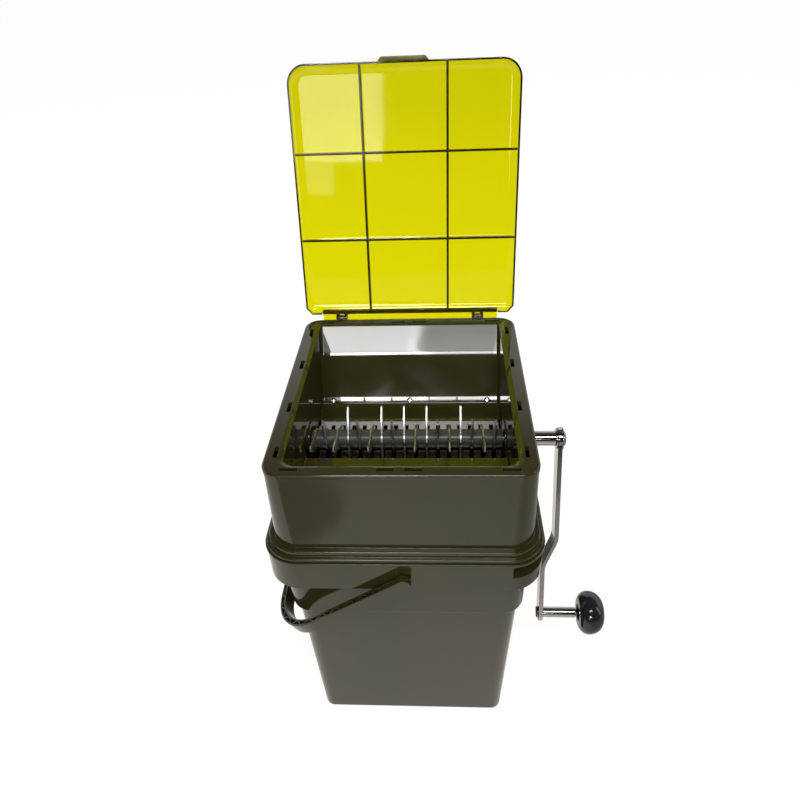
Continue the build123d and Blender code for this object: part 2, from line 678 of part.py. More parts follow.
def rim_rail():
    """Low rail under the rim plate that centres it in the housing's walls."""
    inset = HOUSING_WALL + RIM_RAIL_GAP
    width = HOUSING_TOP_WIDTH - 2 * inset
    corner = HOUSING_TOP_CORNER - inset
    low_z = RIM_LOW_Z - RIM_RAIL
    rail = block(width, corner, low_z, RIM_LOW_Z)
    return rail - block(width - 2 * HOPPER_WALL, corner - HOPPER_WALL, low_z - PAST, RIM_LOW_Z)


def mouth_bevel():
    """Shallow slope round the top of the hopper's mouth."""
    low = RectangleRounded(MOUTH_WIDTH, 2 * MOUTH_HALF_DEPTH, MOUTH_CORNER)
    width = MOUTH_WIDTH + 2 * RIM_BEVEL_SIDE
    depth = 2 * (MOUTH_HALF_DEPTH + RIM_BEVEL_FRONT)
    high = RectangleRounded(width, depth, MOUTH_CORNER + RIM_BEVEL_FRONT)
    low_plane = Plane.XY.offset(RIM_TOP_Z - RIM_BEVEL_DROP)
    return loft([low_plane * low, Plane.XY.offset(RIM_TOP_Z) * high], ruled=True)


def rim_slots():
    """Sixteen slots through the rim plate, four on each side."""
    side_x = RIM_WIDTH / 2 - SLOT_INSET_SIDE
    front_y = RIM_DEPTH / 2 - SLOT_INSET_FRONT
    slots = []
    for side in (-1, 1):
        for place in (-SLOT_SIDE_OUTER_Y, -SLOT_SIDE_INNER_Y, SLOT_SIDE_INNER_Y, SLOT_SIDE_OUTER_Y):
            slots.append(Pos(side * side_x, place) * Rectangle(SLOT_WIDTH, SLOT_LENGTH))
        for place in (-SLOT_FRONT_OUTER_X, -SLOT_FRONT_INNER_X, SLOT_FRONT_INNER_X, SLOT_FRONT_OUTER_X):
            slots.append(Pos(place, side * front_y) * Rectangle(SLOT_LENGTH, SLOT_WIDTH))
    plane = Plane.XY.offset(RIM_LOW_Z - PAST)
    return extrude(plane * (Sketch() + slots), RIM_THICKNESS + 2 * PAST)


def hinge_ears():
    """Two small ears behind the rim that carry the lid's pins."""
    ears = []
    rim_y = RIM_DEPTH / 2
    for x in (-HINGE_X, HINGE_X):
        low, high = x - HINGE_EAR / 2, x + HINGE_EAR / 2
        ear = rod_at(HINGE_RADIUS, low, high, HINGE_Y, HINGE_Z)
        ear += bar(low, high, rim_y - RIM_EDGE_ROUND, HINGE_Y + HINGE_RADIUS, RIM_LOW_Z, HINGE_Z)
        ears.append(ear - rod_at(HINGE_PIN_RADIUS, low - PAST, high + PAST, HINGE_Y, HINGE_Z))
    return ears


# Combs

def comb_screw_places():
    """Three screws along each comb."""
    return (-COMB_SCREW_X, 0.0, COMB_SCREW_X)


def make_comb(side, nip_y, slot_end_y, wall_y, flange, screw_z):
    """Plate with slots on its inner edge and a flange that its screws go through."""
    half = COMB_LENGTH / 2
    face_y = side * (wall_y + HOPPER_WALL + COMB_GAP)
    back_y = face_y + side * COMB_THICKNESS
    comb = bar(-half, half, side * nip_y, back_y, COMB_LOW_Z, COMB_TOP_Z)
    comb += bar(-half, half, face_y, back_y, COMB_LOW_Z, COMB_LOW_Z + flange)
    slot_half = COMB_SLOT_WIDTH / 2
    slots = []
    for index in range(BLADE_COUNT):
        x = blade_x(index)
        open_y = side * (nip_y - PAST)
        z_range = (COMB_LOW_Z - PAST, COMB_TOP_Z + PAST)
        slots.append(bar(x - slot_half, x + slot_half, open_y, side * slot_end_y, *z_range))
    for x in comb_screw_places():
        past_y = back_y + side * PAST
        slots.append(peg(COMB_SCREW_RADIUS + SCREW_FIT, x, screw_z, face_y - side * PAST, past_y))
    return comb - slots


def make_rear_comb():
    """Comb under the sloping back floor."""
    return make_comb(1, REAR_NIP_Y, REAR_SLOT_END_Y, STEP_Y, REAR_FLANGE, REAR_SCREW_Z)


def make_front_comb():
    """Comb under the front ledge."""
    return make_comb(-1, FRONT_NIP_Y, FRONT_SLOT_END_Y, THROAT_Y, FRONT_FLANGE, FRONT_SCREW_Z)


def make_comb_screws():
    """Three screws for each comb, with their heads inside the hopper."""
    screws = []
    for x in comb_screw_places():
        screws.append(comb_screw(x, REAR_SCREW_Z, STEP_Y, 1))
        screws.append(comb_screw(x, FRONT_SCREW_Z, THROAT_Y, -1))
    return Compound(children=screws)


def comb_screw(x, z, wall_y, side):
    """One round-headed screw through the hopper's wall and a comb's flange."""
    face_y = side * wall_y
    head = peg(COMB_SCREW_HEAD_RADIUS, x, z, face_y, face_y - side * COMB_SCREW_HEAD)
    rims = head.edges().filter_by(GeomType.CIRCLE).sort_by(Axis.Y)
    head = fillet(rims[0 if side > 0 else -1], COMB_SCREW_CROWN)
    reach = HOPPER_WALL + COMB_GAP + COMB_THICKNESS + COMB_SCREW_TAIL
    return head + peg(COMB_SCREW_RADIUS, x, z, face_y, face_y + side * reach)


# Bearings

def make_bush():
    """Flanged bush in the right cheek of the hopper."""
    bush = rod(BUSH_RADIUS, MOUTH_HALF - BOSS_HEIGHT, CHEEK_FACE_X + BUSH_OVERHANG)
    bush += rod(BUSH_FLANGE_RADIUS, CHEEK_FACE_X, CHEEK_FACE_X + BUSH_FLANGE)
    return bush - rod(SHAFT_RADIUS + RUNNING_FIT, 0, FAR)


def make_shaft_clip():
    """Open spring clip that keeps the shaft from sliding out to the right."""
    clip = tube(CLIP_RADIUS, SHAFT_END_RADIUS, CLIP_X - CLIP_THICKNESS, CLIP_X)
    half = CLIP_MOUTH / 2
    return clip - bar(CLIP_X - CLIP_THICKNESS, CLIP_X, -half, half, AXIS_Z, FAR)


# Roller

def make_shaft():
    """Steel shaft from the left clip to the crank arm, with a groove and a tapped end."""
    shoulder = ARM_INNER_FACE_X - HUB_WASHER
    left = CLIP_X - CLIP_THICKNESS - RUNNING_FIT - SHAFT_TAIL
    shaft = rod(SHAFT_RADIUS, left, shoulder) + rod(SHAFT_END_RADIUS, shoulder, ARM_OUTER_FACE_X)
    groove_low = CLIP_X - CLIP_THICKNESS - RUNNING_FIT
    shaft -= rod(SHAFT_RADIUS + PAST, groove_low, CLIP_X + RUNNING_FIT)
    shaft += rod(SHAFT_END_RADIUS, left, CLIP_X + PAST)
    return shaft - rod(HUB_SCREW_RADIUS, screw_tip_x() - PAST, FAR)


def screw_tip_x():
    """Inner end of the hub screw."""
    return ARM_OUTER_FACE_X + LOCK_WASHER - HUB_SCREW_LENGTH


def make_spacers():
    """Dark sleeves on the shaft, one in each gap between blades and one at each end."""
    starts = [-DRUM_HALF] + [blade_x(index) + BLADE_THICKNESS / 2 for index in range(BLADE_COUNT)]
    ends = [blade_x(index) - BLADE_THICKNESS / 2 for index in range(BLADE_COUNT)] + [DRUM_HALF]
    bore = SHAFT_RADIUS + RUNNING_FIT
    return Compound(children=[tube(DRUM_RADIUS, bore, low, high) for low, high in zip(starts, ends)])


def blade_outline():
    """Flat outline of a blade: a round hub with two opposite hooked teeth."""
    hook_y = BLADE_ROOT_HALF - BLADE_HOOK_WIDTH
    hook_x = math.sqrt(BLADE_TIP_RADIUS**2 - BLADE_ROOT_HALF**2)
    heel_x = BLADE_TIP_RADIUS - BLADE_HOOK_LENGTH
    root = Line((0, -BLADE_ROOT_HALF), (hook_x, -BLADE_ROOT_HALF))
    tip = RadiusArc(root @ 1, (math.sqrt(BLADE_TIP_RADIUS**2 - hook_y**2), -hook_y), -BLADE_TIP_RADIUS)
    flank = Line(tip @ 1, (heel_x, BLADE_ROOT_HALF / 2))
    back = Line(flank @ 1, (0, BLADE_ROOT_HALF))
    tooth = make_face(root + tip + flank + back + Line(back @ 1, root @ 0))
    blade = Circle(BLADE_HUB_RADIUS) + tooth + Rot(0, 0, 180) * tooth
    return blade - Circle(SHAFT_RADIUS + RUNNING_FIT)


def make_blades(letter, angle):
    """All blades that point the same way, as one group."""
    outline = Rot(0, 0, angle) * blade_outline()
    blades = []
    for index in range(BLADE_COUNT):
        if BLADE_ORDER[index % len(BLADE_ORDER)] == letter:
            start = blade_x(index) - BLADE_THICKNESS / 2
            plane = Plane((start, 0, AXIS_Z), x_dir=(0, 1, 0), z_dir=(1, 0, 0))
            blades.append(extrude(plane * outline, BLADE_THICKNESS))
    return Compound(children=blades)


# Crank

def arm_plane():
    """Frame of the crank arm: its x runs along the arm and its z away from the bucket."""
    angle = math.radians(ARM_ANGLE)
    along = (0, -math.sin(angle), -math.cos(angle))
    return Plane((ARM_INNER_FACE_X, 0, AXIS_Z), x_dir=along, z_dir=(1, 0, 0))


def arm_side():
    """Outline of the arm seen along its flat, with the joggle towards the bucket."""
    low, high = -ARM_HUB_RADIUS - PAST, ARM_LENGTH + ARM_WIDTH
    path = [(low, 0), (ARM_JOGGLE_START, 0), (ARM_JOGGLE_END, -ARM_JOGGLE), (high, -ARM_JOGGLE)]
    points = path + [(x, z + ARM_THICKNESS) for x, z in reversed(path)]
    side = Polygon(*points, align=None)
    outer_bend = ARM_BEND_RADIUS + ARM_THICKNESS
    bends = (
        ((ARM_JOGGLE_START, 0), ARM_BEND_RADIUS),
        ((ARM_JOGGLE_START, ARM_THICKNESS), outer_bend),
        ((ARM_JOGGLE_END, -ARM_JOGGLE), outer_bend),
        ((ARM_JOGGLE_END, ARM_THICKNESS - ARM_JOGGLE), ARM_BEND_RADIUS),
    )
    for place, radius in bends:
        corner = side.vertices().sort_by_distance((*place, 0))[0]
        side = fillet(corner, radius)
    return side


def make_crank_arm():
    """Flat steel arm with rounded ends, a joggle and a hole at each end."""
    strip = extrude(Plane.XZ * arm_side(), ARM_HUB_RADIUS + PAST, both=True)
    plan = Circle(ARM_HUB_RADIUS) + Pos(ARM_LENGTH, 0) * Circle(ARM_WIDTH / 2)
    plan += Pos(ARM_LENGTH / 2, 0) * Rectangle(ARM_LENGTH, ARM_WIDTH)
    plan -= Circle(SHAFT_END_RADIUS + RUNNING_FIT)
    plan -= Pos(ARM_LENGTH, 0) * Circle(SPINDLE_CORE_RADIUS + RUNNING_FIT)
    low = -ARM_JOGGLE - PAST
    cut = extrude(Plane.XY.offset(low) * plan, ARM_THICKNESS + PAST - low)
    return arm_plane() * (strip & cut)


def make_sleeve():
    """Bright tube on the shaft between the right bush and the arm."""
    start = CHEEK_FACE_X + BUSH_OVERHANG + SLEEVE_GAP
    return tube(SLEEVE_RADIUS, SHAFT_RADIUS + RUNNING_FIT, start, ARM_INNER_FACE_X - HUB_WASHER)


def make_hub_washer():
    """Plain washer between the tube and the arm."""
    start = ARM_INNER_FACE_X - HUB_WASHER
    return tube(HUB_WASHER_RADIUS, SHAFT_END_RADIUS + RUNNING_FIT, start, ARM_INNER_FACE_X)


def make_lock_washer():
    """Toothed washer under the head of the hub screw."""
    outline = Circle(LOCK_WASHER_RING)
    length = 2 * (LOCK_WASHER_RADIUS - LOCK_WASHER_RING)
    for index in range(LOCK_TEETH):
        tooth = Pos(LOCK_WASHER_RING, 0) * Rectangle(length, LOCK_TOOTH_WIDTH)
        outline += Rot(0, 0, index * 360 / LOCK_TEETH) * tooth
    outline -= Circle(HUB_SCREW_RADIUS + SCREW_FIT)
    return on_axis(ARM_OUTER_FACE_X) * extrude(outline, LOCK_WASHER)


def on_axis(x):
    """Frame on the roller's axis that faces away from the bucket."""
    return Plane((x, 0, AXIS_Z), x_dir=(0, 1, 0), z_dir=(1, 0, 0))


def make_hub_screw():
    """Low round-headed screw that holds the arm on the shaft."""
    start = ARM_OUTER_FACE_X + LOCK_WASHER
    end = start + HUB_SCREW_HEAD
    head = rod(HUB_SCREW_HEAD_RADIUS, start, end)
    head = fillet(head.edges().filter_by(GeomType.CIRCLE).sort_by(Axis.X)[-1], HUB_SCREW_CROWN)
    socket = RegularPolygon(HUB_SOCKET_WIDTH / 2, 6, major_radius=False)
    head -= on_axis(end - HUB_SOCKET_DEPTH) * extrude(socket, HUB_SOCKET_DEPTH + PAST)
    return head + rod(HUB_SCREW_RADIUS, screw_tip_x(), start)


# Knob

def knob_bar(radius, low, high):
    """Round bar on the knob's axis, measured outwards from the arm's outer face."""
    face = Plane.XY.offset(ARM_THICKNESS - ARM_JOGGLE + low) * Pos(ARM_LENGTH, 0) * Circle(radius)
    return arm_plane() * extrude(face, high - low)


def make_spindle():
    """Bright spacer tube between arm and knob on a core that carries the knob."""
    core_end = SPINDLE_LENGTH + KNOB_LENGTH - KNOB_RECESS
    spindle = knob_bar(SPINDLE_RADIUS, 0, SPINDLE_LENGTH - KNOB_GAP)
    return spindle + knob_bar(SPINDLE_CORE_RADIUS, -ARM_THICKNESS, core_end)


def make_rivet():
    """Round head on the spindle's core, on the bucket's side of the arm."""
    head = knob_bar(RIVET_RADIUS, -ARM_THICKNESS - RIVET_HEIGHT, -ARM_THICKNESS)
    return fillet(head.edges().filter_by(GeomType.CIRCLE).sort_by(Axis.X)[0], RIVET_CROWN)


def knob_profile():
    """Half outline of the knob: radius across, and length from its inner face."""
    inner = (KNOB_FACE_RADIUS, 0)
    belly = (KNOB_RADIUS, KNOB_BELLY)
    outer = (KNOB_END_RADIUS, KNOB_LENGTH)
    base = Line((0, 0), inner)
    flank = ThreePointArc(inner, bulged(inner, belly, KNOB_INNER_BULGE), belly)
    dome = ThreePointArc(belly, bulged(belly, outer, KNOB_OUTER_BULGE), outer)
    return make_face(base + flank + dome + Line(outer, (0, KNOB_LENGTH)) + Line((0, KNOB_LENGTH), (0, 0)))


def bulged(start, end, bulge):
    """Point beside the middle of a chord, on its right-hand side."""
    across, up = end[0] - start[0], end[1] - start[1]
    length = math.hypot(across, up)
    return (
        (start[0] + end[0]) / 2 + bulge * up / length,
        (start[1] + end[1]) / 2 - bulge * across / length,
    )


def make_knob():
    """Round black knob that turns on the spindle."""
    solid = revolve(Plane.XZ * knob_profile(), Axis.Z)
    bore = Circle(SPINDLE_CORE_RADIUS + KNOB_FIT)
    solid -= extrude(Plane.XY.offset(-PAST) * bore, KNOB_LENGTH + 2 * PAST)
    recess = Plane.XY.offset(KNOB_LENGTH - KNOB_RECESS - KNOB_GAP) * Circle(KNOB_RECESS_RADIUS)
    solid -= extrude(recess, KNOB_RECESS + KNOB_GAP + PAST)
    return arm_plane() * Pos(ARM_LENGTH, 0, ARM_THICKNESS - ARM_JOGGLE + SPINDLE_LENGTH) * solid


def make_knob_cap():
    """Small plug that closes the knob's outer recess."""
    end = SPINDLE_LENGTH + KNOB_LENGTH
    cap = knob_bar(KNOB_RECESS_RADIUS, end - KNOB_CAP, end)
    return fillet(cap.edges().filter_by(GeomType.CIRCLE).sort_by(Axis.X)[-1], KNOB_CAP / 2)


# Lid, drawn closed and then turned open

def lid_outline(side_inset, back_y):
    """Flat outline of the lid with its front and sides set in by an amount."""
    half = LID_WIDTH / 2 - side_inset
    front = HINGE_Y - LID_FRONT_S + side_inset
    cut_y = HINGE_Y - LID_BACK_CUT_S
    cut_x = LID_BACK_CUT_X
    right = [(half, front), (half, cut_y), (half - cut_x, back_y)]
    points = right + [(-x, y) for x, y in reversed(right)]
    outline = Polygon(*points, align=None)
    share = side_inset / LID_COVE_WIDTH
    radius = LID_CORNER + (LID_TOP_CORNER - LID_CORNER) * share
    return fillet(outline.vertices().group_by(Axis.Y)[0], radius)


def lid_block(inset, back_y, z_low, drop):
    """Lid shape with a slope round three edges, set in and let down by amounts."""
    shoulder_z = LID_TOP_Z - LID_COVE_HEIGHT - drop
    low = lid_outline(inset, back_y)
    high = lid_outline(LID_COVE_WIDTH + inset, back_y)
    solid = extrude(Plane.XY.offset(z_low) * low, shoulder_z - z_low)
    top = LID_TOP_Z - drop
    return solid + loft([Plane.XY.offset(shoulder_z) * low, Plane.XY.offset(top) * high], ruled=True)


def make_lid():
    """Clear tinted cover with a skirt, cross ribs, latch lip and hinge lugs."""
    inner_back = LID_BACK_Y - LID_WALL
    room = lid_block(LID_WALL, inner_back, LID_LOW_Z - PAST, LID_WALL)
    lid = lid_block(0, LID_BACK_Y, LID_LOW_Z, 0) - (room - lid_ribs())
    half = LID_WIDTH / 2 - LID_BACK_CUT_X - LID_COVE_WIDTH
    lift = LID_LOW_Z + LID_BACK_LIFT
    lid -= bar(-half, half, inner_back - PAST, FAR, LID_LOW_Z - PAST, lift)
    tongue_y = HINGE_Y - LID_TONGUE_S
    lid += bar(-half, half, LID_BACK_Y - LID_WALL, tongue_y, LID_TOP_Z - LID_WALL, LID_TOP_Z)
    return lid + latch_lip() + hinge_lugs()


def lid_ribs():
    """Two ribs along the lid and two across it."""
    thin = LID_RIB / 2
    low = LID_LOW_Z + LID_RIB_CLEAR
    ribs = [bar(x - thin, x + thin, -FAR, FAR, low, LID_TOP_Z) for x in (-LID_RIB_X, LID_RIB_X)]
    for distance in (LID_RIB_NEAR_S, LID_RIB_FAR_S):
        y = HINGE_Y - distance
        ribs.append(bar(-FAR, FAR, y - thin, y + thin, low, LID_TOP_Z))
    return ribs


def latch_lip():
    """Finger lip in the middle of the lid's front edge."""
    front = HINGE_Y - LID_FRONT_S
    half = LATCH_WIDTH / 2
    right = [(half, front + LID_WALL / 2), (half, front), (half - LATCH_SLANT, front - LATCH_REACH)]
    points = right + [(-x, y) for x, y in reversed(right)]
    lip = Plane.XY.offset(LID_LOW_Z) * Polygon(*points, align=None)
    return extrude(lip, LATCH_THICKNESS, dir=(0, 0, 1))


def hinge_lugs():
    """Pair of lugs on the lid for each hinge ear."""
    lugs = []
    radius = HINGE_RADIUS - HINGE_GAP
    for x in (-HINGE_X, HINGE_X):
        for side in (-1, 1):
            near = x + side * (HINGE_EAR / 2 + HINGE_GAP)
            low, high = sorted((near, near + side * HINGE_LUG))
            lug = rod_at(radius, low, high, HINGE_Y, HINGE_Z)
            lug += bar(low, high, LID_BACK_Y - LID_WALL / 2, HINGE_Y + radius, HINGE_Z, LID_TOP_Z)
            bore = HINGE_PIN_RADIUS + HINGE_FIT
            lugs.append(lug - rod_at(bore, low - PAST, high + PAST, HINGE_Y, HINGE_Z))
    return lugs


def make_hinge_pins():
    """Two steel pins that the lid turns on."""
    reach = HINGE_EAR / 2 + HINGE_GAP + HINGE_LUG
    pins = []
    for x in (-HINGE_X, HINGE_X):
        pins.append(rod_at(HINGE_PIN_RADIUS, x - reach, x + reach, HINGE_Y, HINGE_Z))
    return Compound(children=pins)


def opened(solid):
    """Turn a closed lid about the hinge axis to its open place."""
    hinge = Pos(0, HINGE_Y, HINGE_Z)
    return hinge * Rot(-LID_ANGLE, 0, 0) * Pos(0, -HINGE_Y, -HINGE_Z) * solid


os.makedirs("parts", exist_ok=True)

right_bush = make_bush()

parts = {
    "bucket": make_bucket(),
    "bucket_collar": make_collar(),
    "bucket_handle": make_handle(),
    "crusher_housing": make_housing(),
    "housing_screws": make_housing_screws(),
    "neck_seal": make_seal(),
    "hopper": make_hopper(),
    "rear_comb": make_rear_comb(),
    "front_comb": make_front_comb(),
    "comb_screws": make_comb_screws(),
    "right_bush": right_bush,
    "left_bush": mirror(right_bush, Plane.YZ),
    "hinge_pins": make_hinge_pins(),
    "roller_shaft": make_shaft(),
    "shaft_clip": make_shaft_clip(),
    "roller_spacers": make_spacers(),
    "blades_level": make_blades("A", LEVEL_BLADE_ANGLE),
    "blades_upright": make_blades("B", UPRIGHT_BLADE_ANGLE),
    "blades_slanted": make_blades("C", SLANTED_BLADE_ANGLE),
    "crank_sleeve": make_sleeve(),
    "hub_washer": make_hub_washer(),
    "crank_arm": make_crank_arm(),
    "lock_washer": make_lock_washer(),
    "hub_screw": make_hub_screw(),
    "knob_spindle": make_spindle(),
    "spindle_rivet": make_rivet(),
    "crank_knob": make_knob(),
    "knob_cap": make_knob_cap(),
    "lid": opened(make_lid()),
}

for name, solid in parts.items():
    export_step(solid, f"parts/{name}.step")
    box = solid.bounding_box()
    print(name, [round(value, 1) for value in (*box.min, *box.max)])
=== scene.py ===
# %% [markdown]
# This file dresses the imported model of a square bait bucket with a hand-cranked bait
# crusher on top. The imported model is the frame: it gives every part's place and the
# joints. The pieces made here are finer shapes of the same parts, each riding on the
# frame's body that it belongs to. They are drawn in millimetres, because that is how
# such parts are measured, and turned to metres when they are finished.

import math

import bmesh
import bpy
from mathutils import Matrix, Vector


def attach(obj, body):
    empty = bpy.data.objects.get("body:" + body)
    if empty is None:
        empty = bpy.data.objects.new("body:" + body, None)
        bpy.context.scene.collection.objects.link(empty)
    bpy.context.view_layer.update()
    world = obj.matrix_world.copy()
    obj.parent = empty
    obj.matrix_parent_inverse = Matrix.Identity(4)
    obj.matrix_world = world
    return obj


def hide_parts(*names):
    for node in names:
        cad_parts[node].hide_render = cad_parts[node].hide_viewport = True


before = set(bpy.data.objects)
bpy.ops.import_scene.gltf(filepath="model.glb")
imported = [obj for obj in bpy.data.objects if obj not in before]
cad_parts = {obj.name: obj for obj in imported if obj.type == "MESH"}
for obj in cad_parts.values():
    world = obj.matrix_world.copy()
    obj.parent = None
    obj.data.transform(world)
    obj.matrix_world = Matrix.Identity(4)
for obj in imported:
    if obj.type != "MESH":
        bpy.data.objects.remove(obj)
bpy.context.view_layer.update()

# %% [markdown]
# The photograph was taken from the front, a little to the right, looking down at
# about 36 degrees, with the camera turned slightly on its side. Its place was worked
# out from the straight edges of the bucket and the lid. A camera can be turned with
# angles, but a matrix of three directions is exact and easy to check.

# %% Camera
MM = 0.001
YAW = 0.07337
PITCH = 0.62332
ROLL = -0.049098
CAMERA_PLACE = Vector((36.71, -579.06, 801.74)) * MM

forward = Vector((-math.sin(YAW) * math.cos(PITCH), math.cos(YAW) * math.cos(PITCH), -math.sin(PITCH)))
level_right = forward.cross(Vector((0, 0, 1))).normalized()
level_up = level_right.cross(forward)
camera_right = math.cos(ROLL) * level_right + math.sin(ROLL) * level_up
camera_up = math.cos(ROLL) * level_up - math.sin(ROLL) * level_right

camera_data = bpy.data.cameras.new("photo_camera")
camera_data.lens = 30.08
camera_data.sensor_width = 36.0
camera_data.clip_start = 0.01
camera = bpy.data.objects.new("photo_camera", camera_data)
bpy.context.scene.collection.objects.link(camera)
camera_turn = Matrix((camera_right, camera_up, -forward)).transposed().to_4x4()
camera.matrix_world = Matrix.Translation(CAMERA_PLACE) @ camera_turn
bpy.context.scene.camera = camera
bpy.context.scene.view_settings.view_transform = "Standard"
print("camera looks down", round(math.degrees(PITCH), 1), "degrees")

# %% [markdown]
# A product studio has a white sweep under and behind the object and a darker room on
# the camera's side. Glossy plastic is mostly a mirror of that room, so the world has
# both. Where the camera looks, it is white. In reflections it is white behind the
# object and dark in front and overhead. Through the clear lid it is a little dimmer
# than white. The light that falls on the object stays plain.

# %% Small tools for nodes
def add_node(tree, kind, **settings):
    """Add a node and set its properties, or its inputs by their names."""
    node = tree.nodes.new(kind)
    for name, value in settings.items():
        if hasattr(node, name):
            setattr(node, name, value)
        else:
            node.inputs[name.replace("_", " ")].default_value = value
    return node


def math_node(tree, operation, first, second=0.5, clamp=False):
    """Add a Math node whose inputs are sockets or plain numbers."""
    node = tree.nodes.new("ShaderNodeMath")
    node.operation = operation
    node.use_clamp = clamp
    for socket, value in zip(node.inputs, (first, second)):
        if isinstance(value, bpy.types.NodeSocket):
            tree.links.new(value, socket)
        else:
            socket.default_value = value
    return node.outputs["Value"]


def map_range(tree, value, from_low, from_high, to_low, to_high, smooth=False):
    """Add a Map Range node that carries a value from one range to another."""
    node = tree.nodes.new("ShaderNodeMapRange")
    node.interpolation_type = "SMOOTHSTEP" if smooth else "LINEAR"
    tree.links.new(value, node.inputs["Value"])
    sizes = (("From Min", from_low), ("From Max", from_high), ("To Min", to_low), ("To Max", to_high))
    for name, size in sizes:
        if isinstance(size, bpy.types.NodeSocket):
            tree.links.new(size, node.inputs[name])
        else:
            node.inputs[name].default_value = size
    return node.outputs["Result"]


def by_ray(tree, plain, mirror, through, camera):
    """Strength that depends on which kind of ray looks at a surface."""
    ray = add_node(tree, "ShaderNodeLightPath")
    value = map_range(tree, ray.outputs["Is Glossy Ray"], 0.0, 1.0, plain, mirror)
    value = map_range(tree, ray.outputs["Is Transmission Ray"], 0.0, 1.0, value, through)
    return map_range(tree, ray.outputs["Is Camera Ray"], 0.0, 1.0, value, camera)


def fades(tree, place, *ranges):
    """Product of soft fades, each along one axis of a place."""
    product = 1.0
    for axis, start, end, low, high in ranges:
        fade = map_range(tree, place.outputs[axis], start, end, low, high, smooth=True)
        product = math_node(tree, "MULTIPLY", fade, product)
    return product


def colour_mix(tree, factor, dark, light):
    """Colour between a dark and a light one."""
    mix = add_node(tree, "ShaderNodeMix", data_type="RGBA")
    for name, colour in (("A", dark), ("B", light)):
        [end for end in mix.inputs if end.name == name and end.type == "RGBA"][0].default_value = (*colour, 1)
    tree.links.new(factor, mix.inputs["Factor"])
    return [end for end in mix.outputs if end.type == "RGBA"][0]


# %% The studio room
PLAIN_LIGHT = 0.62

world = bpy.data.worlds.new("studio_room")
bpy.context.scene.world = world
world.use_nodes = True
room = world.node_tree
room.nodes.clear()
look = add_node(room, "ShaderNodeTexCoord")
split = add_node(room, "ShaderNodeSeparateXYZ")
room.links.new(look.outputs["Generated"], split.inputs["Vector"])
mirror_light = fades(room, split, ("Y", -0.25, 0.35, 0.02, 1.0), ("Z", 0.50, 0.68, 1.0, 0.10))
through_light = map_range(room, split.outputs["Y"], -0.3, 0.6, 0.30, 0.9)
backdrop_light = add_node(room, "ShaderNodeBackground", Color=(1, 1, 1, 1))
room.links.new(by_ray(room, PLAIN_LIGHT, mirror_light, through_light, 1.0), backdrop_light.inputs["Strength"])
out = add_node(room, "ShaderNodeOutputWorld")
room.links.new(backdrop_light.outputs["Background"], out.inputs["Surface"])
print("world light", PLAIN_LIGHT)

# %% [markdown]
# The floor is a wide white sheet. Seen by the camera it gives off most of its own
# white, so that it joins the backdrop and still keeps the soft shadow. In the
# object's reflections it is slightly warm and grows dark towards the front and the
# sides, where the studio's sheet ends. One dark round spot on it stands for
# something on the photographer's table, which a glossy front wall shows as a patch.

# %% Floor
FLOOR_RADIUS = 40.0
SPOT_X, SPOT_Y = -0.242, -0.56

floor_mesh = bmesh.new()
bmesh.ops.create_circle(floor_mesh, cap_ends=True, segments=64, radius=FLOOR_RADIUS)
floor_data = bpy.data.meshes.new("studio_floor")
floor_mesh.to_mesh(floor_data)
floor_mesh.free()
studio_floor = bpy.data.objects.new("studio_floor", floor_data)
bpy.context.scene.collection.objects.link(studio_floor)

paper = bpy.data.materials.new("studio_paper")
paper.use_nodes = True
sheet = paper.node_tree
sheet.nodes.clear()
place = add_node(sheet, "ShaderNodeTexCoord")
split = add_node(sheet, "ShaderNodeSeparateXYZ")
sheet.links.new(place.outputs["Object"], split.inputs["Vector"])
offsets = [math_node(sheet, "SUBTRACT", split.outputs[axis], middle)
           for axis, middle in (("X", SPOT_X), ("Y", SPOT_Y))]
squares = [math_node(sheet, "MULTIPLY", offset, offset) for offset in offsets]
distance = math_node(sheet, "SQRT", math_node(sheet, "ADD", *squares))
outside_spot = map_range(sheet, distance, 0.095, 0.125, 0.0, 1.0, smooth=True)
sheet_fades = fades(sheet, split, ("Y", -1.10, -0.45, 0.04, 0.66), ("X", 0.10, 0.38, 1.0, 0.15),
                    ("X", -0.80, -0.38, 0.40, 1.0))
mirror_light = math_node(sheet, "MULTIPLY", sheet_fades, outside_spot)
through_light = math_node(sheet, "MULTIPLY", map_range(sheet, split.outputs["Y"], 0.1, 0.6, 0.05, 0.86),
                          map_range(sheet, split.outputs["Y"], 1.0, 3.2, 1.0, 0.82))
print("floor radius", FLOOR_RADIUS, "m")

# %% Floor material
glow = add_node(sheet, "ShaderNodeEmission")
sheet.links.new(by_ray(sheet, 0.0, mirror_light, through_light, 0.765), glow.inputs["Strength"])
ray = add_node(sheet, "ShaderNodeLightPath")
tone = add_node(sheet, "ShaderNodeCombineColor", Red=1.0)
for channel, warm in (("Green", 0.965), ("Blue", 0.87)):
    sheet.links.new(map_range(sheet, ray.outputs["Is Glossy Ray"], 0.0, 1.0, 1.0, warm), tone.inputs[channel])
sheet.links.new(tone.outputs["Color"], glow.inputs["Color"])
matt = add_node(sheet, "ShaderNodeBsdfDiffuse", Color=(0.34, 0.34, 0.335, 1))
both = add_node(sheet, "ShaderNodeAddShader")
sheet.links.new(glow.outputs["Emission"], both.inputs[0])
sheet.links.new(matt.outputs["BSDF"], both.inputs[1])
out = add_node(sheet, "ShaderNodeOutputMaterial")
sheet.links.new(both.outputs["Shader"], out.inputs["Surface"])
floor_data.materials.append(paper)
print("floor material", len(sheet.nodes), "nodes")

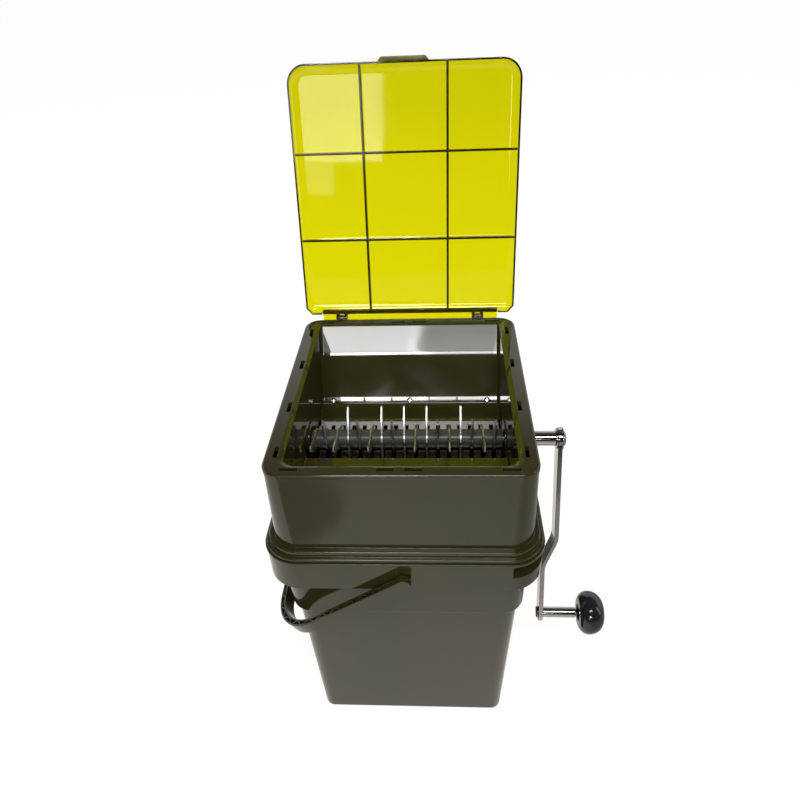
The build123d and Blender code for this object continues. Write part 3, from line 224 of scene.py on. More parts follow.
# %% [markdown]
# The light comes from one soft box above the camera and a weak strip on the right.
# A polished wall shows little else than what it mirrors, so a photographer also puts
# white cards round the object. Here they are lit cards far in front of the hopper.
# Each is given by the angles that it covers as seen from there, sideways and upwards,
# so its reflection lands on one known part of a wall. The low cards, the left one and
# the middle one show in the hopper's back wall, the step cards on the step below it,
# and the lid cards in the lid's upper left corner.


# %% Soft boxes
def soft_box(name, place, aim, size, power):
    """Rectangular lamp at a place, turned towards a point."""
    lamp = bpy.data.lights.new(name, "AREA")
    lamp.shape = "RECTANGLE"
    lamp.size, lamp.size_y = size
    lamp.energy = power
    box = bpy.data.objects.new(name, lamp)
    bpy.context.scene.collection.objects.link(box)
    facing = Vector(aim) - Vector(place)
    box.location = place
    box.rotation_euler = facing.to_track_quat("-Z", "Y").to_euler()
    print(name, "power", round(power, 1))


soft_box("key_box", (0.15, -1.25, 2.15), (0, 0, 0.35), (1.1, 0.35), 15.0)
soft_box("right_strip", (1.7, -0.35, 0.9), (0.1, 0, 0.3), (0.35, 1.3), 3.0)

# %% Far cards
CARD_DISTANCE = 6.0
HOPPER_MIDDLE = Vector((0, 0.12, 0.385))
CARDS = (
    ("low_left_card", (-11.5, -2.4), (20.5, 23.1), 17.0),
    ("low_right_card", (-2.4, 10.0), (20.5, 23.1), 6.5),
    ("left_card", (-11.5, -2.0), (23.1, 25.5), 15.0),
    ("middle_card", (-2.0, 9.0), (23.1, 25.5), 5.0),
    ("step_left_card", (-11.5, -1.6), (25.5, 28.4), 42.0),
    ("step_right_card", (-1.6, 8.0), (25.5, 28.4), 21.0),
    ("lid_card", (-17.0, -4.9), (10.3, 18.2), 3.4),
    ("lid_low_card", (-17.0, -9.5), (7.5, 10.3), 1.3),
)
for name, sideways, upwards, radiance in CARDS:
    turned, raised = [math.radians(sum(angles) / 2) for angles in (sideways, upwards)]
    wide, high = [CARD_DISTANCE * math.radians(end - start) for start, end in (sideways, upwards)]
    away = Vector((math.sin(turned) * math.cos(raised), -math.cos(turned) * math.cos(raised),
                   math.sin(raised)))
    soft_box(name, HOPPER_MIDDLE + CARD_DISTANCE * away, HOPPER_MIDDLE, (wide, high),
             radiance * math.pi * wide * high)

# %% [markdown]
# Moulded plastic is never quite even: the melt flows in faint clouds, the mould's
# polish leaves slightly duller patches, and the skin has a very fine ripple. These
# three effects are needed by every plastic here, so they are one node group that puts
# out a tone mask, a roughness and a height. Each material sets its own ranges.

# %% Node group: moulded skin
def effect_group(name):
    """Node group that takes a place and two roughnesses, with its two end nodes."""
    tree = bpy.data.node_groups.new(name, "ShaderNodeTree")
    tree.interface.new_socket(name="Vector", in_out="INPUT", socket_type="NodeSocketVector")
    for way, names in (("INPUT", ("Smooth", "Dull")), ("OUTPUT", ("Tone", "Roughness", "Height"))):
        for socket in names:
            tree.interface.new_socket(name=socket, in_out=way, socket_type="NodeSocketFloat")
    return tree, add_node(tree, "NodeGroupInput"), add_node(tree, "NodeGroupOutput")


moulded_skin, given, result = effect_group("moulded_skin")


def skin_noise(scale, detail, stretch=(1, 1, 1)):
    """Noise inside the moulded skin group, with its pattern drawn out if wanted."""
    mapping = add_node(moulded_skin, "ShaderNodeMapping")
    mapping.inputs["Scale"].default_value = stretch
    moulded_skin.links.new(given.outputs["Vector"], mapping.inputs["Vector"])
    noise = add_node(moulded_skin, "ShaderNodeTexNoise", Scale=scale, Detail=detail)
    moulded_skin.links.new(mapping.outputs["Vector"], noise.inputs["Vector"])
    return noise.outputs["Fac"]


clouds = map_range(moulded_skin, skin_noise(9.0, 3.0, (1, 1, 0.55)), 0.3, 0.7, 0.0, 1.0, smooth=True)
patches = map_range(moulded_skin, skin_noise(26.0, 5.0), 0.35, 0.72, 0.0, 1.0, smooth=True)
scuffs = map_range(moulded_skin, skin_noise(420.0, 2.0, (1, 0.08, 0.3)), 0.63, 0.75, 0.0, 1.0)
dullness = math_node(moulded_skin, "MAXIMUM", patches, math_node(moulded_skin, "MULTIPLY", scuffs, 0.8))
roughness = map_range(moulded_skin, dullness, 0.0, 1.0, given.outputs["Smooth"], given.outputs["Dull"])
ripple = math_node(moulded_skin, "MULTIPLY", skin_noise(130.0, 2.0), 0.08)
grain = math_node(moulded_skin, "MULTIPLY", skin_noise(1900.0, 2.0), 0.006)
height = math_node(moulded_skin, "ADD", skin_noise(26.0, 1.0), math_node(moulded_skin, "ADD", ripple, grain))
moulded_skin.links.new(clouds, result.inputs["Tone"])
moulded_skin.links.new(roughness, result.inputs["Roughness"])
moulded_skin.links.new(height, result.inputs["Height"])
print("moulded_skin has", len(moulded_skin.nodes), "nodes")

# %% [markdown]
# Steel that was ground, rolled or plated shows fine lines along one direction and a
# few soft smears. A second group gives those as a tone, a roughness and a height, and
# takes the direction of the lines as a stretch of its coordinates.

# %% Node group: worked metal
worked_metal, given, result = effect_group("worked_metal")
lines = add_node(worked_metal, "ShaderNodeTexNoise", Scale=1500.0, Detail=2.0)
worked_metal.links.new(given.outputs["Vector"], lines.inputs["Vector"])
smears = add_node(worked_metal, "ShaderNodeTexNoise", Scale=55.0, Detail=4.0)
worked_metal.links.new(given.outputs["Vector"], smears.inputs["Vector"])
line_mask = map_range(worked_metal, lines.outputs["Fac"], 0.35, 0.65, 0.0, 1.0)
smear_mask = map_range(worked_metal, smears.outputs["Fac"], 0.42, 0.7, 0.0, 1.0, smooth=True)
mixed = math_node(worked_metal, "ADD", math_node(worked_metal, "MULTIPLY", line_mask, 0.45),
                  math_node(worked_metal, "MULTIPLY", smear_mask, 0.55))
roughness = map_range(worked_metal, mixed, 0.0, 1.0, given.outputs["Smooth"], given.outputs["Dull"])
worked_metal.links.new(mixed, result.inputs["Tone"])
worked_metal.links.new(roughness, result.inputs["Roughness"])
worked_metal.links.new(line_mask, result.inputs["Height"])
print("worked_metal has", len(worked_metal.nodes), "nodes")


# %% Build a finish from a group
def finish_with(name, group, dark, light, smooth, dull, bump, stretch=(1, 1, 1), **shader_values):
    """Material whose colour, roughness and bump come from one of the effect groups."""
    material = bpy.data.materials.new(name)
    material.use_nodes = True
    tree = material.node_tree
    shader = tree.nodes["Principled BSDF"]
    for socket, value in shader_values.items():
        shader.inputs[socket.replace("_", " ")].default_value = value
    place = add_node(tree, "ShaderNodeTexCoord")
    mapping = add_node(tree, "ShaderNodeMapping")
    mapping.inputs["Scale"].default_value = stretch
    tree.links.new(place.outputs["Object"], mapping.inputs["Vector"])
    effect = add_node(tree, "ShaderNodeGroup")
    effect.node_tree = group
    effect.inputs["Smooth"].default_value = smooth
    effect.inputs["Dull"].default_value = dull
    tree.links.new(mapping.outputs["Vector"], effect.inputs["Vector"])
    tree.links.new(colour_mix(tree, effect.outputs["Tone"], dark, light), shader.inputs["Base Color"])
    tree.links.new(effect.outputs["Roughness"], shader.inputs["Roughness"])
    relief = add_node(tree, "ShaderNodeBump", Strength=1.0, Distance=bump)
    tree.links.new(effect.outputs["Height"], relief.inputs["Height"])
    tree.links.new(relief.outputs["Normal"], shader.inputs["Normal"])
    print("finish", name)
    return material


# %% [markdown]
# The bucket, its handle and the crusher's box are olive polypropylene. The plastic is
# very dark, and what the eye takes for its colour is mostly the white room on its
# glossy skin. So the base colour is low and the reflection does the rest. The hopper
# is the same plastic from a polished mould, so it is smoother.

# %% Plastics
olive_plastic = finish_with("olive_plastic", moulded_skin, (0.0225, 0.0225, 0.0062), (0.029, 0.0275, 0.0085),
                            0.08, 0.13, 0.00005)
hopper_plastic = finish_with("polished_olive_plastic", moulded_skin, (0.024, 0.0235, 0.006),
                             (0.030, 0.0285, 0.0075), 0.04, 0.08, 0.00005)
drum_plastic = finish_with("drum_plastic", moulded_skin, (0.050, 0.051, 0.040), (0.072, 0.073, 0.058),
                           0.28, 0.38, 0.00006)
knob_plastic = finish_with("knob_plastic", moulded_skin, (0.009, 0.008, 0.010), (0.015, 0.013, 0.016),
                           0.05, 0.11, 0.00004)
bush_plastic = finish_with("bush_plastic", moulded_skin, (0.016, 0.016, 0.015), (0.030, 0.030, 0.028),
                           0.30, 0.42, 0.00008)
seal_rubber = finish_with("seal_rubber", moulded_skin, (0.010, 0.010, 0.010), (0.018, 0.018, 0.018),
                          0.62, 0.80, 0.0002)

# %% [markdown]
# The crank is bright plated steel, the blades and combs are ground steel, and the
# screws are plain zinc plated steel. The front comb gets a darker copy of the comb
# steel, which is painted shade for its place under the roller.

# %% Metals
bright_steel = finish_with("bright_steel", worked_metal, (0.42, 0.405, 0.40), (0.54, 0.525, 0.52),
                           0.05, 0.16, 0.000003, stretch=(0.1, 1, 0.1), Metallic=1.0)
blade_steel = finish_with("blade_steel", worked_metal, (0.62, 0.62, 0.61), (0.80, 0.80, 0.79),
                          0.30, 0.45, 0.000004, stretch=(1, 1, 0.12), Metallic=1.0)
comb_steel = finish_with("comb_steel", worked_metal, (0.66, 0.66, 0.65), (0.82, 0.82, 0.81),
                         0.34, 0.50, 0.000004, stretch=(0.12, 1, 1), Metallic=0.4)
# Darker copy of the comb steel for the front comb: painted shade.
painted_shade_comb_steel = finish_with("front_comb_steel", worked_metal, (0.40, 0.40, 0.39), (0.55, 0.55, 0.54),
                           0.26, 0.42, 0.000004, stretch=(0.12, 1, 1), Metallic=1.0)
screw_steel = finish_with("screw_steel", worked_metal, (0.50, 0.50, 0.49), (0.66, 0.66, 0.65),
                          0.16, 0.32, 0.000003, Metallic=1.0)

# %% [markdown]
# The lid is clear plastic with a strong yellow-green dye. Light that goes through the
# thin tray comes out bright yellow, because the dye takes little on so short a way.
# So the lid is real glass with an absorbing volume, and the glass itself carries part
# of the yellow. Light that gets into a rib travels along it and comes out dark or not
# at all. A renderer follows only a few such bounces, so the ribs get a deeper tint of
# the same dye instead, which is painted shade for the light lost in them.

# %% Tinted clear plastic
def tinted(name, dark, light, smooth, dull, dye_density):
    """Clear plastic with a yellow dye in its depth."""
    material = finish_with(name, moulded_skin, dark, light, smooth, dull, 0.00004,
                           Metallic=0.0, Transmission_Weight=1.0, IOR=1.49)
    tree = material.node_tree
    dye = add_node(tree, "ShaderNodeVolumeAbsorption", Color=(0.916, 0.909, 0.0, 1), Density=dye_density)
    tree.links.new(dye.outputs["Volume"], tree.nodes["Material Output"].inputs["Volume"])
    return material


tinted_plastic = tinted("tinted_clear_plastic", (0.965, 0.955, 0.05), (0.985, 0.975, 0.07), 0.02, 0.06, 1700)
# Deep tint for the ribs, lip, lugs and back bar: the lid's dye plus painted shade.
rib_shade_plastic = tinted("deep_tint_painted_shade_plastic", (0.19, 0.175, 0.010), (0.23, 0.21, 0.014), 0.05, 0.12, 2600)

# %% [markdown]
# Nearly every moulded part here is a stack of rounded rectangles: the outline of the
# foot, of the step, of the rim, and back down inside. So the main tool starts with
# one rounded face and extrudes it from level to level, and after each extrusion the
# ring of points is moved out to the next outline. Walls, steps, grooves and the
# hollow inside come from one list, and the result is one closed skin.

# %% Rounded outlines, raised from level to level
EXTRA_DEPTH = 32.5


def square(width, corner, z):
    """Level whose depth is the footprint's usual bit more than its width."""
    return (width, width + EXTRA_DEPTH, corner, z)


def round_off(bm, geom, radius, steps, affect="EDGES", clamp=False):
    """Round edges or corners with plain arcs."""
    bmesh.ops.bevel(bm, geom=geom, offset=radius, offset_type="OFFSET", segments=steps, profile=0.5,
                    affect=affect, material=-1, clamp_overlap=clamp)


def rounded_face(bm, level, steps):
    """Flat face with four rounded corners."""
    width, depth, corner, z = level
    places = ((-1, -1), (1, -1), (1, 1), (-1, 1))
    verts = [bm.verts.new((x * width / 2, y * depth / 2, z)) for x, y in places]
    bm.faces.new(verts)
    round_off(bm, verts, corner, steps, affect="VERTICES")
    return bm.faces[:][0]


def grow_face(bm, face):
    """Extrude a face and give the new one, which is still in the old place."""
    grown = bmesh.ops.extrude_face_region(bm, geom=[face])["geom"]
    return [item for item in grown if isinstance(item, bmesh.types.BMFace)][0]


def raise_levels(levels, steps=10, ring=False):
    """Closed skin through a list of levels, or a closed ring back to the first one."""
    bm = bmesh.new()
    first = top = rounded_face(bm, levels[0], steps)
    for before, after in zip(levels, levels[1:]):
        below, top = top, grow_face(bm, top)
        if below is not first:
            bmesh.ops.delete(bm, geom=[below], context="FACES_ONLY")
        for vert in top.verts:
            side = Vector((math.copysign(1, vert.co.x), math.copysign(1, vert.co.y)))
            was, now = [side * Vector((level[0] / 2 - level[2], level[1] / 2 - level[2]))
                        for level in (before, after)]
            vert.co = (*(now + (vert.co.xy - was) / before[2] * after[2]), after[3])
    if ring:
        bottom = first if first.is_valid else bm.faces[:][0]
        loops = list(bottom.edges) + list(top.edges)
        bmesh.ops.delete(bm, geom=[bottom, top], context="FACES_ONLY")
        bmesh.ops.bridge_loops(bm, edges=loops)
    bmesh.ops.recalc_face_normals(bm, faces=bm.faces)
    return bm


def round_edges(bm, wanted, radius, steps=4):
    """Round every edge whose two ends pass a test."""
    edges = [edge for edge in bm.edges if all(wanted(vert.co) for vert in edge.verts)]
    round_off(bm, edges, radius, steps, clamp=True)


def near(value, target, margin=0.05):
    """Whether a place is at a wanted level."""
    return abs(value - target) < margin


def beyond(place, level):
    """Whether a place lies outside a level's rounded outline."""
    width, depth, corner, _ = level
    over_x = max(abs(place.x) - width / 2 + corner, 0)
    over_y = max(abs(place.y) - depth / 2 + corner, 0)
    return math.hypot(over_x, over_y) > corner


# %% [markdown]
# Holes, slots and notches are cut with boolean modifiers, as a drill or a mould's
# core would make them. Each one is baked at once, so that no helper object is left.
# Blocks and pegs are the small shapes used for cutting and adding. Most tools are a
# single one of them, so one short call makes it.

# %% Blocks and pegs
def shift(bm, verts, way):
    """Move some points of a bmesh."""
    bmesh.ops.translate(bm, vec=way, verts=verts)


def turn(bm, verts, angle, axis):
    """Turn some points of a bmesh about an axis through the middle."""
    bmesh.ops.rotate(bm, cent=(0, 0, 0), matrix=Matrix.Rotation(angle, 3, axis), verts=verts)


def block(bm, x_range, y_range, z_range):
    """Add a block between two places on each axis."""
    centre = [(low + high) / 2 for low, high in (x_range, y_range, z_range)]
    size = [abs(high - low) for low, high in (x_range, y_range, z_range)]
    made = bmesh.ops.create_cube(bm, size=1.0)["verts"]
    bmesh.ops.scale(bm, vec=size, verts=made)
    shift(bm, made, centre)
    return made


AXIS_TURNS = {"X": (math.pi / 2, "Y"), "Y": (-math.pi / 2, "X"), "Z": (0.0, "Z")}


def peg(bm, axis, centre, radius, low, high, steps=32):
    """Add a round peg along an axis, between two places on that axis."""
    made = bmesh.ops.create_cone(bm, cap_ends=True, segments=steps, radius1=radius, radius2=radius,
                                 depth=high - low)["verts"]
    turn(bm, made, *AXIS_TURNS[axis])
    place = list(centre)
    place["XYZ".index(axis)] = (low + high) / 2
    shift(bm, made, place)
    return made


# %% Pieces, cutting and joining
def new_piece(name, bm):
    """Object from a finished bmesh, still in millimetres."""
    data = bpy.data.meshes.new(name)
    bm.to_mesh(data)
    bm.free()
    piece = bpy.data.objects.new(name, data)
    bpy.context.scene.collection.objects.link(piece)
    return piece


def bake(piece):
    """Make a piece's modifiers part of its mesh."""
    graph = bpy.context.evaluated_depsgraph_get()
    baked = bpy.data.meshes.new_from_object(piece.evaluated_get(graph))
    piece.modifiers.clear()
    before = piece.data
    piece.data = baked
    bpy.data.meshes.remove(before)
    baked.name = piece.name


def combine(piece, tool_mesh, operation):
    """Cut a piece with another shape, join them, or keep what they share."""
    tool = new_piece("tool", tool_mesh)
    step = piece.modifiers.new("combine", "BOOLEAN")
    step.operation = operation
    step.solver = "EXACT"
    step.object = tool
    bake(piece)
    used = tool.data
    bpy.data.objects.remove(tool)
    bpy.data.meshes.remove(used)


def cut(piece, tool_mesh):
    """Cut a shape out of a piece."""
    combine(piece, tool_mesh, "DIFFERENCE")


def join(piece, tool_mesh):
    """Join a shape to a piece."""
    combine(piece, tool_mesh, "UNION")


def single(make, *sizes, **settings):
    """Bmesh that holds a single block or peg."""
    bm = bmesh.new()
    make(bm, *sizes, **settings)
    return bm


def add_shape(bm, other):
    """Add one bmesh to another without merging them, and free it."""
    data = bpy.data.meshes.new("added")
    other.to_mesh(data)
    other.free()
    bm.from_mesh(data)
    bpy.data.meshes.remove(data)


def loosen(helper):
    """Turn a helper piece back into a bmesh."""
    bm = bmesh.new()
    bm.from_mesh(helper.data)
    bpy.data.objects.remove(helper)
    return bm


# %% [markdown]
# No real edge is perfectly sharp. A small bevel on every edge catches the light and
# makes the part look moulded or ground. A weighted normal keeps wide flat walls
# flat next to those bevels. Last, the piece is turned to metres and handed to its body.

# %% Finish a piece
def settle(piece, material, body, slot, *nodes, ease=0.4, steps=2, angle=32):
    """Ease a piece's edges, give it its finish and let it ride on its body."""
    piece.data.transform(Matrix.Scale(MM, 4))
    piece.data.materials.clear()
    piece.data.materials.append(material)
    piece.data.shade_smooth()
    if ease:
        bevel = piece.modifiers.new("eased_edges", "BEVEL")
        bevel.width = ease * MM
        bevel.segments = steps
        bevel.limit_method = "ANGLE"
        bevel.angle_limit = math.radians(angle)
        bevel.miter_outer = "MITER_ARC"
        bevel.use_clamp_overlap = False
    weighted = piece.modifiers.new("flat_walls", "WEIGHTED_NORMAL")
    weighted.weight = 50
    weighted.keep_sharp = True
    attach(piece, body)
    if nodes:
        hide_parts(*nodes)
    print(piece.name, "faces", len(piece.data.polygons), "size mm",
          [round(side / MM, 1) for side in piece.dimensions])


# %% [markdown]
# Some places are shared by several parts: the roller's axis, the handle's pivots, the
# lid's hinge, the four posts that join the hopper to its box, and the row of blades.

# %% Shared places
AXIS_Z = 331.0
ROLLER = (0, 0, AXIS_Z)
PIVOT = (0, 0, 281.5)
HINGE_Y, HINGE_Z, EARS_X = 144.5, 406.0, (-83.0, 83.0)
POSTS = [(x, y) for x in (-116.45, 116.45) for y in (-75.0, 75.0)]
BLADE_ORDER = "ACABCABCBABCABCAC"
BLADE_PLACES = [-102.0 + 12.4 * index for index in range(len(BLADE_ORDER))]
print("blades", len(BLADE_PLACES))

# %% [markdown]
# The bucket is one moulding: a leaning lower body, a step out to a wider band, a
# collar that hangs from a shelf like a curtain, and a short neck that the crusher
# sits on. Following the skin from the foot up, over the neck and down the inside
# gives the whole hollow shape from one list of levels.

# %% Bucket skin
FLOOR_Z, STEP_Z, SHELF_LOW, NECK_TOP = 3.0, 209.0, 295.6, 305.0
COLLAR_LOW, COLLAR_TOP = 265.0, 298.0
NECK = (258.0, 31.0)

bucket_mesh = raise_levels([
    square(218.0, 12.0, 0.0),
    square(237.0, 20.0, STEP_Z),
    square(247.5, 24.0, STEP_Z),
    square(252.84, 26.0, SHELF_LOW),
    square(271.2, 32.6, SHELF_LOW),
    square(271.2, 32.6, COLLAR_LOW),
    square(276.0, 35.0, COLLAR_LOW),
    square(276.0, 35.0, COLLAR_TOP),
    square(*NECK, COLLAR_TOP),
    square(*NECK, NECK_TOP),
    square(253.2, 28.6, NECK_TOP),
    square(253.2, 28.6, COLLAR_TOP),
    square(248.2, 23.6, COLLAR_TOP),
    square(242.8, 21.6, STEP_Z + 2.4),
    square(232.2, 17.6, STEP_Z + 2.4),
    square(213.2, 9.6, FLOOR_Z),
], steps=12)
round_edges(bucket_mesh, lambda co: near(co.z, 0.0), 3.5, 5)
round_edges(bucket_mesh, lambda co: near(co.z, FLOOR_Z), 3.0, 3)
band_foot = square(241.0, 17.0, STEP_Z)
round_edges(bucket_mesh, lambda co: near(co.z, STEP_Z) and beyond(co, band_foot), 1.6, 3)
bucket = new_piece("bucket_moulding", bucket_mesh)
print("bucket skin", len(bucket.data.polygons), "faces")

# %% [markdown]
# Thin upright ribs tie the hanging collar to the band, and at the front right corner
# the collar is cut away to the shelf so that fingers can reach under the crusher's
# ring. The notch has a small ledge below it.

# %% Ribs, notch and pivot bosses of the bucket
ribs = bmesh.new()
for place in (-88.0, -42.0, 42.0, 88.0):
    for side in (-1, 1):
        block(ribs, (side * 124.5, side * 136.8), (place - 1, place + 1), (274.0, 296.8))
        block(ribs, (place - 1, place + 1), (side * 140.7, side * 153.0), (274.0, 296.8))
join(bucket, ribs)

bosses = bmesh.new()
for low, high in ((-153.0, -149.45), (149.45, 153.0)):
    peg(bosses, "Y", PIVOT, 8.0, low, high)
join(bucket, bosses)

ledge = new_piece("ledge", raise_levels([square(275.8, 34.9, 280.6), square(275.8, 34.9, 296.8)]))
combine(ledge, single(block, (103.6, 200.0), (-200.0, -115.85), (270.0, 300.0)), "INTERSECT")
cut(ledge, raise_levels([square(252.0, 30.0, 200.0), square(254.0, 30.0, 320.0)]))
join(bucket, loosen(ledge))

notch = new_piece("notch", single(block, (106.0, 200.0), (-200.0, -118.25), (283.0, COLLAR_TOP + 0.01)))
cut(notch, raise_levels([square(*NECK, 200.0), square(*NECK, 320.0)]))
cut(bucket, loosen(notch))

pin_holes = bmesh.new()
for low, high in ((-160.0, -148.0), (148.0, 160.0)):
    peg(pin_holes, "Y", PIVOT, 4.3, low, high)
cut(bucket, pin_holes)
settle(bucket, olive_plastic, "bucket", "olive_plastic", "bucket", "bucket_collar", ease=0.5)

# %% [markdown]
# The bail handle is a light channel: two thin walls with a web between them and
# zigzag ribs that stiffen it. It is drawn flat, as it comes out of the mould, then
# turned down to the side where it hangs.

# %% Handle
REACH, HALF_SPAN, BAIL_CORNER, BAIL_THICK = 167.7, 164.5, 58.0, 7.5
MID_CORNER = BAIL_CORNER - BAIL_THICK / 2
BAIL_LENGTH = 2 * (REACH - BAIL_CORNER) + 2 * (HALF_SPAN - BAIL_CORNER) + math.pi * MID_CORNER
HANG = math.radians(-34.8)
RIB_PITCH, RIB_RISE = 9.0, 5.7


def bail_wall(outer, inner, half_height):
    """Half ring of the bail between two insets from its outer face."""
    def outline(inset, z):
        return (2 * (REACH - inset), 2 * (HALF_SPAN - inset), BAIL_CORNER - inset, z)

    bm = raise_levels([outline(outer, -half_height), outline(outer, half_height),
                       outline(inner, half_height), outline(inner, -half_height)], steps=16, ring=True)
    everything = bm.verts[:] + bm.edges[:] + bm.faces[:]
    sliced = bmesh.ops.bisect_plane(bm, geom=everything, plane_co=(0, 0, 0), plane_no=(1, 0, 0),
                                    clear_outer=True)
    rim = [item for item in sliced["geom_cut"] if isinstance(item, bmesh.types.BMEdge)]
    bmesh.ops.holes_fill(bm, edges=rim)
    bmesh.ops.recalc_face_normals(bm, faces=bm.faces)
    return bm


def bail_place(distance):
    """Point and heading on the bail's centre line, from the front pivot onwards."""
    if distance > BAIL_LENGTH / 2:
        (x, y), heading = bail_place(BAIL_LENGTH - distance)
        return (x, -y), math.pi - heading
    straight, mid_x, mid_y = REACH - BAIL_CORNER, REACH - BAIL_THICK / 2, HALF_SPAN - BAIL_THICK / 2
    if distance < straight:
        return (-distance, -mid_y), math.pi
    turned = (distance - straight) / MID_CORNER
    if turned < math.pi / 2:
        return (-straight - MID_CORNER * math.sin(turned),
                -mid_y + MID_CORNER * (1 - math.cos(turned))), math.pi - turned
    along = distance - straight - MID_CORNER * math.pi / 2
    return (-mid_x, -mid_y + MID_CORNER + along), math.pi / 2


bail = bail_wall(0.0, 1.8, 7.0)
add_shape(bail, bail_wall(5.7, 7.5, 7.0))
add_shape(bail, bail_wall(0.9, 6.6, 0.9))
rib_count = int((BAIL_LENGTH - 32.0) / RIB_PITCH)
rib_start = (BAIL_LENGTH - rib_count * RIB_PITCH) / 2
for index in range(rib_count):
    (x, y), heading = bail_place(rib_start + RIB_PITCH * (index + 0.5))
    slope = math.atan2(RIB_RISE, RIB_PITCH) * (1 if index % 2 else -1)
    rib = block(bail, (-5.2, 5.2), (-0.65, 0.65), (-6.8, 6.8))
    turn(bail, rib, heading + slope, "Z")
    shift(bail, rib, (x, y, 0))
for side in (-1, 1):
    peg(bail, "Y", (0, 0, 0), 8.0, *sorted((side * 156.8, side * 164.9)), steps=40)
    block(bail, (-26.0, -1.0), sorted((side * 158.2, side * 163.4)), (-6.4, 6.4))
    peg(bail, "Y", (0, 0, 0), 4.0, *sorted((side * 149.15, side * 158.0)), steps=24)
    peg(bail, "Y", (0, 0, 0), 5.2, *sorted((side * 147.15, side * 149.15)), steps=24)
turn(bail, bail.verts, HANG, "Y")
shift(bail, bail.verts, PIVOT)
handle = new_piece("bail_handle", bail)
print("ribs in the handle", rib_count)
settle(handle, olive_plastic, "handle", "olive_plastic", "bucket_handle", ease=0.35)

# %% [markdown]
# The crusher's box leans in slightly towards the top, and at its foot a stepped ring
# closes over the bucket's neck. Followed from the ring's lip upwards and back down the
# inside, it is one closed ring of levels again. The crank's tube goes through a hole
# in the right wall.

# %% Crusher box
box_mesh = raise_levels([
    square(278.3, 36.4, 298.7),
    square(278.3, 36.4, 302.6),
    square(273.0, 33.75, 302.6),
    square(273.0, 33.75, 303.5),
    square(275.0, 34.75, 303.5),
    square(275.0, 34.75, 307.0),
    square(267.5, 31.0, 307.0),
    square(267.5, 31.0, 313.5),
    square(256.0, 25.0, 313.5),
    square(250.8, 18.0, 399.0),
    square(246.0, 15.6, 399.0),
    square(251.2, 22.6, 313.5),
    square(247.6, 25.8, 313.5),
    square(247.6, 25.8, 301.0),
    square(251.6, 27.8, 301.0),
    square(251.6, 27.8, 307.3),
    square(261.0, 28.8, 307.3),
    square(261.0, 28.8, 298.7),
], steps=12, ring=True)
round_edges(box_mesh, lambda co: near(co.z, 307.0) and (abs(co.x) > 134 or abs(co.y) > 150), 1.6, 4)
round_edges(box_mesh, lambda co: near(co.z, 313.5) and (abs(co.x) > 130 or abs(co.y) > 146), 1.6, 4)
crusher_box = new_piece("crusher_box", box_mesh)
cut(crusher_box, single(peg, "X", ROLLER, 9.25, 110.0, 140.0, steps=48))
box_posts = bmesh.new()
for x, y in POSTS:
    peg(box_posts, "Z", (x, y, 0), 4.0, 307.3, 336.8, steps=20)
    block(box_posts, sorted((x, math.copysign(126.0, x))), (y - 4, y + 4), (307.3, 313.0))
join(crusher_box, box_posts)
settle(crusher_box, olive_plastic, "crusher", "olive_plastic", "crusher_housing", ease=0.5)

# %% [markdown]
# The hopper is a rim plate with a funnel hanging under it. The funnel is easiest to
# think of from the side: back wall, sloping floor, a low step with the comb's screws,
# the throat where the roller turns, a ledge and the sloping front. That side outline
# is drawn once and drawn out to the width, a little larger for the outside and at
# size for the inside, and the inside is then cut away. The back wall leans and meets
# the floor and the step at shallow angles. Smooth shading would blend the normals of
# two such walls and bend what they mirror, so a narrow bevel goes along each of these
# creases and takes up the whole turn.

# %% Funnel shapes
MOUTH_X, MOUTH_Y = 107.5, 128.05
RIM_TOP, RIM_LOW = 405.0, 399.0
CREASE_Y, CREASE_Z = 112.6, 372.2
LEAN_TOP = 402.5
STEP_Y, STEP_HIGH = 84.0, 328.0
THROAT_FRONT, THROAT_BACK = -41.5, 52.0


def side_shape(points, low, high):
    """Plate between two X places whose outline goes through a few Y and Z places."""
    bm = bmesh.new()
    face = bm.faces.new([bm.verts.new((low, y, z)) for y, z in points])
    shift(bm, grow_face(bm, face).verts, (high - low, 0, 0))
    bmesh.ops.recalc_face_normals(bm, faces=bm.faces)
    return bm


def funnel(wall, top):
    """Funnel from mouth to throat, grown outwards by a wall thickness."""
    back, rise, front = MOUTH_Y + wall, wall / 2, THROAT_FRONT - wall
    creases = ((CREASE_Y + wall, CREASE_Z - rise, 4.0), (STEP_Y + wall, STEP_HIGH - rise, 0.8))
    bm = side_shape([
        (back, top), (back, min(top - 0.5, LEAN_TOP)), creases[0][:2], creases[1][:2],
        (STEP_Y - 4.42 + wall, 320.8 - wall), (THROAT_BACK, 318 - wall), (front, 318 - wall),
        (front, 340 - wall), (-66 - rise, 340 - wall), (-back, 383 - rise), (-back, top),
    ], -MOUTH_X - wall, MOUTH_X + wall)
    corners = [edge for edge in bm.edges
               if all(abs(vert.co.y) > back - 0.1 for vert in edge.verts)
               and abs(edge.verts[0].co.z - edge.verts[1].co.z) > 5]
    round_off(bm, corners, 12.0 + wall, 8)
    for y, z, radius in creases:
        crease = [edge for edge in bm.edges
                  if all(near(vert.co.y, y) and near(vert.co.z, z) for vert in edge.verts)]
        round_off(bm, crease, radius, 3)
    return bm


def soften_creases(bm, radius, steps=3):
    """Round the funnel's long creases and its foot, but not its open top."""
    top = max(vert.co.z for vert in bm.verts)
    edges = []
    for edge in bm.edges:
        if len(edge.link_faces) == 2 and edge.calc_face_angle(0) > math.radians(22):
            if max(vert.co.z for vert in edge.verts) < top - 1 or edge.verts[0].co.z != edge.verts[1].co.z:
                edges.append(edge)
    round_off(bm, edges, radius, steps, clamp=True)


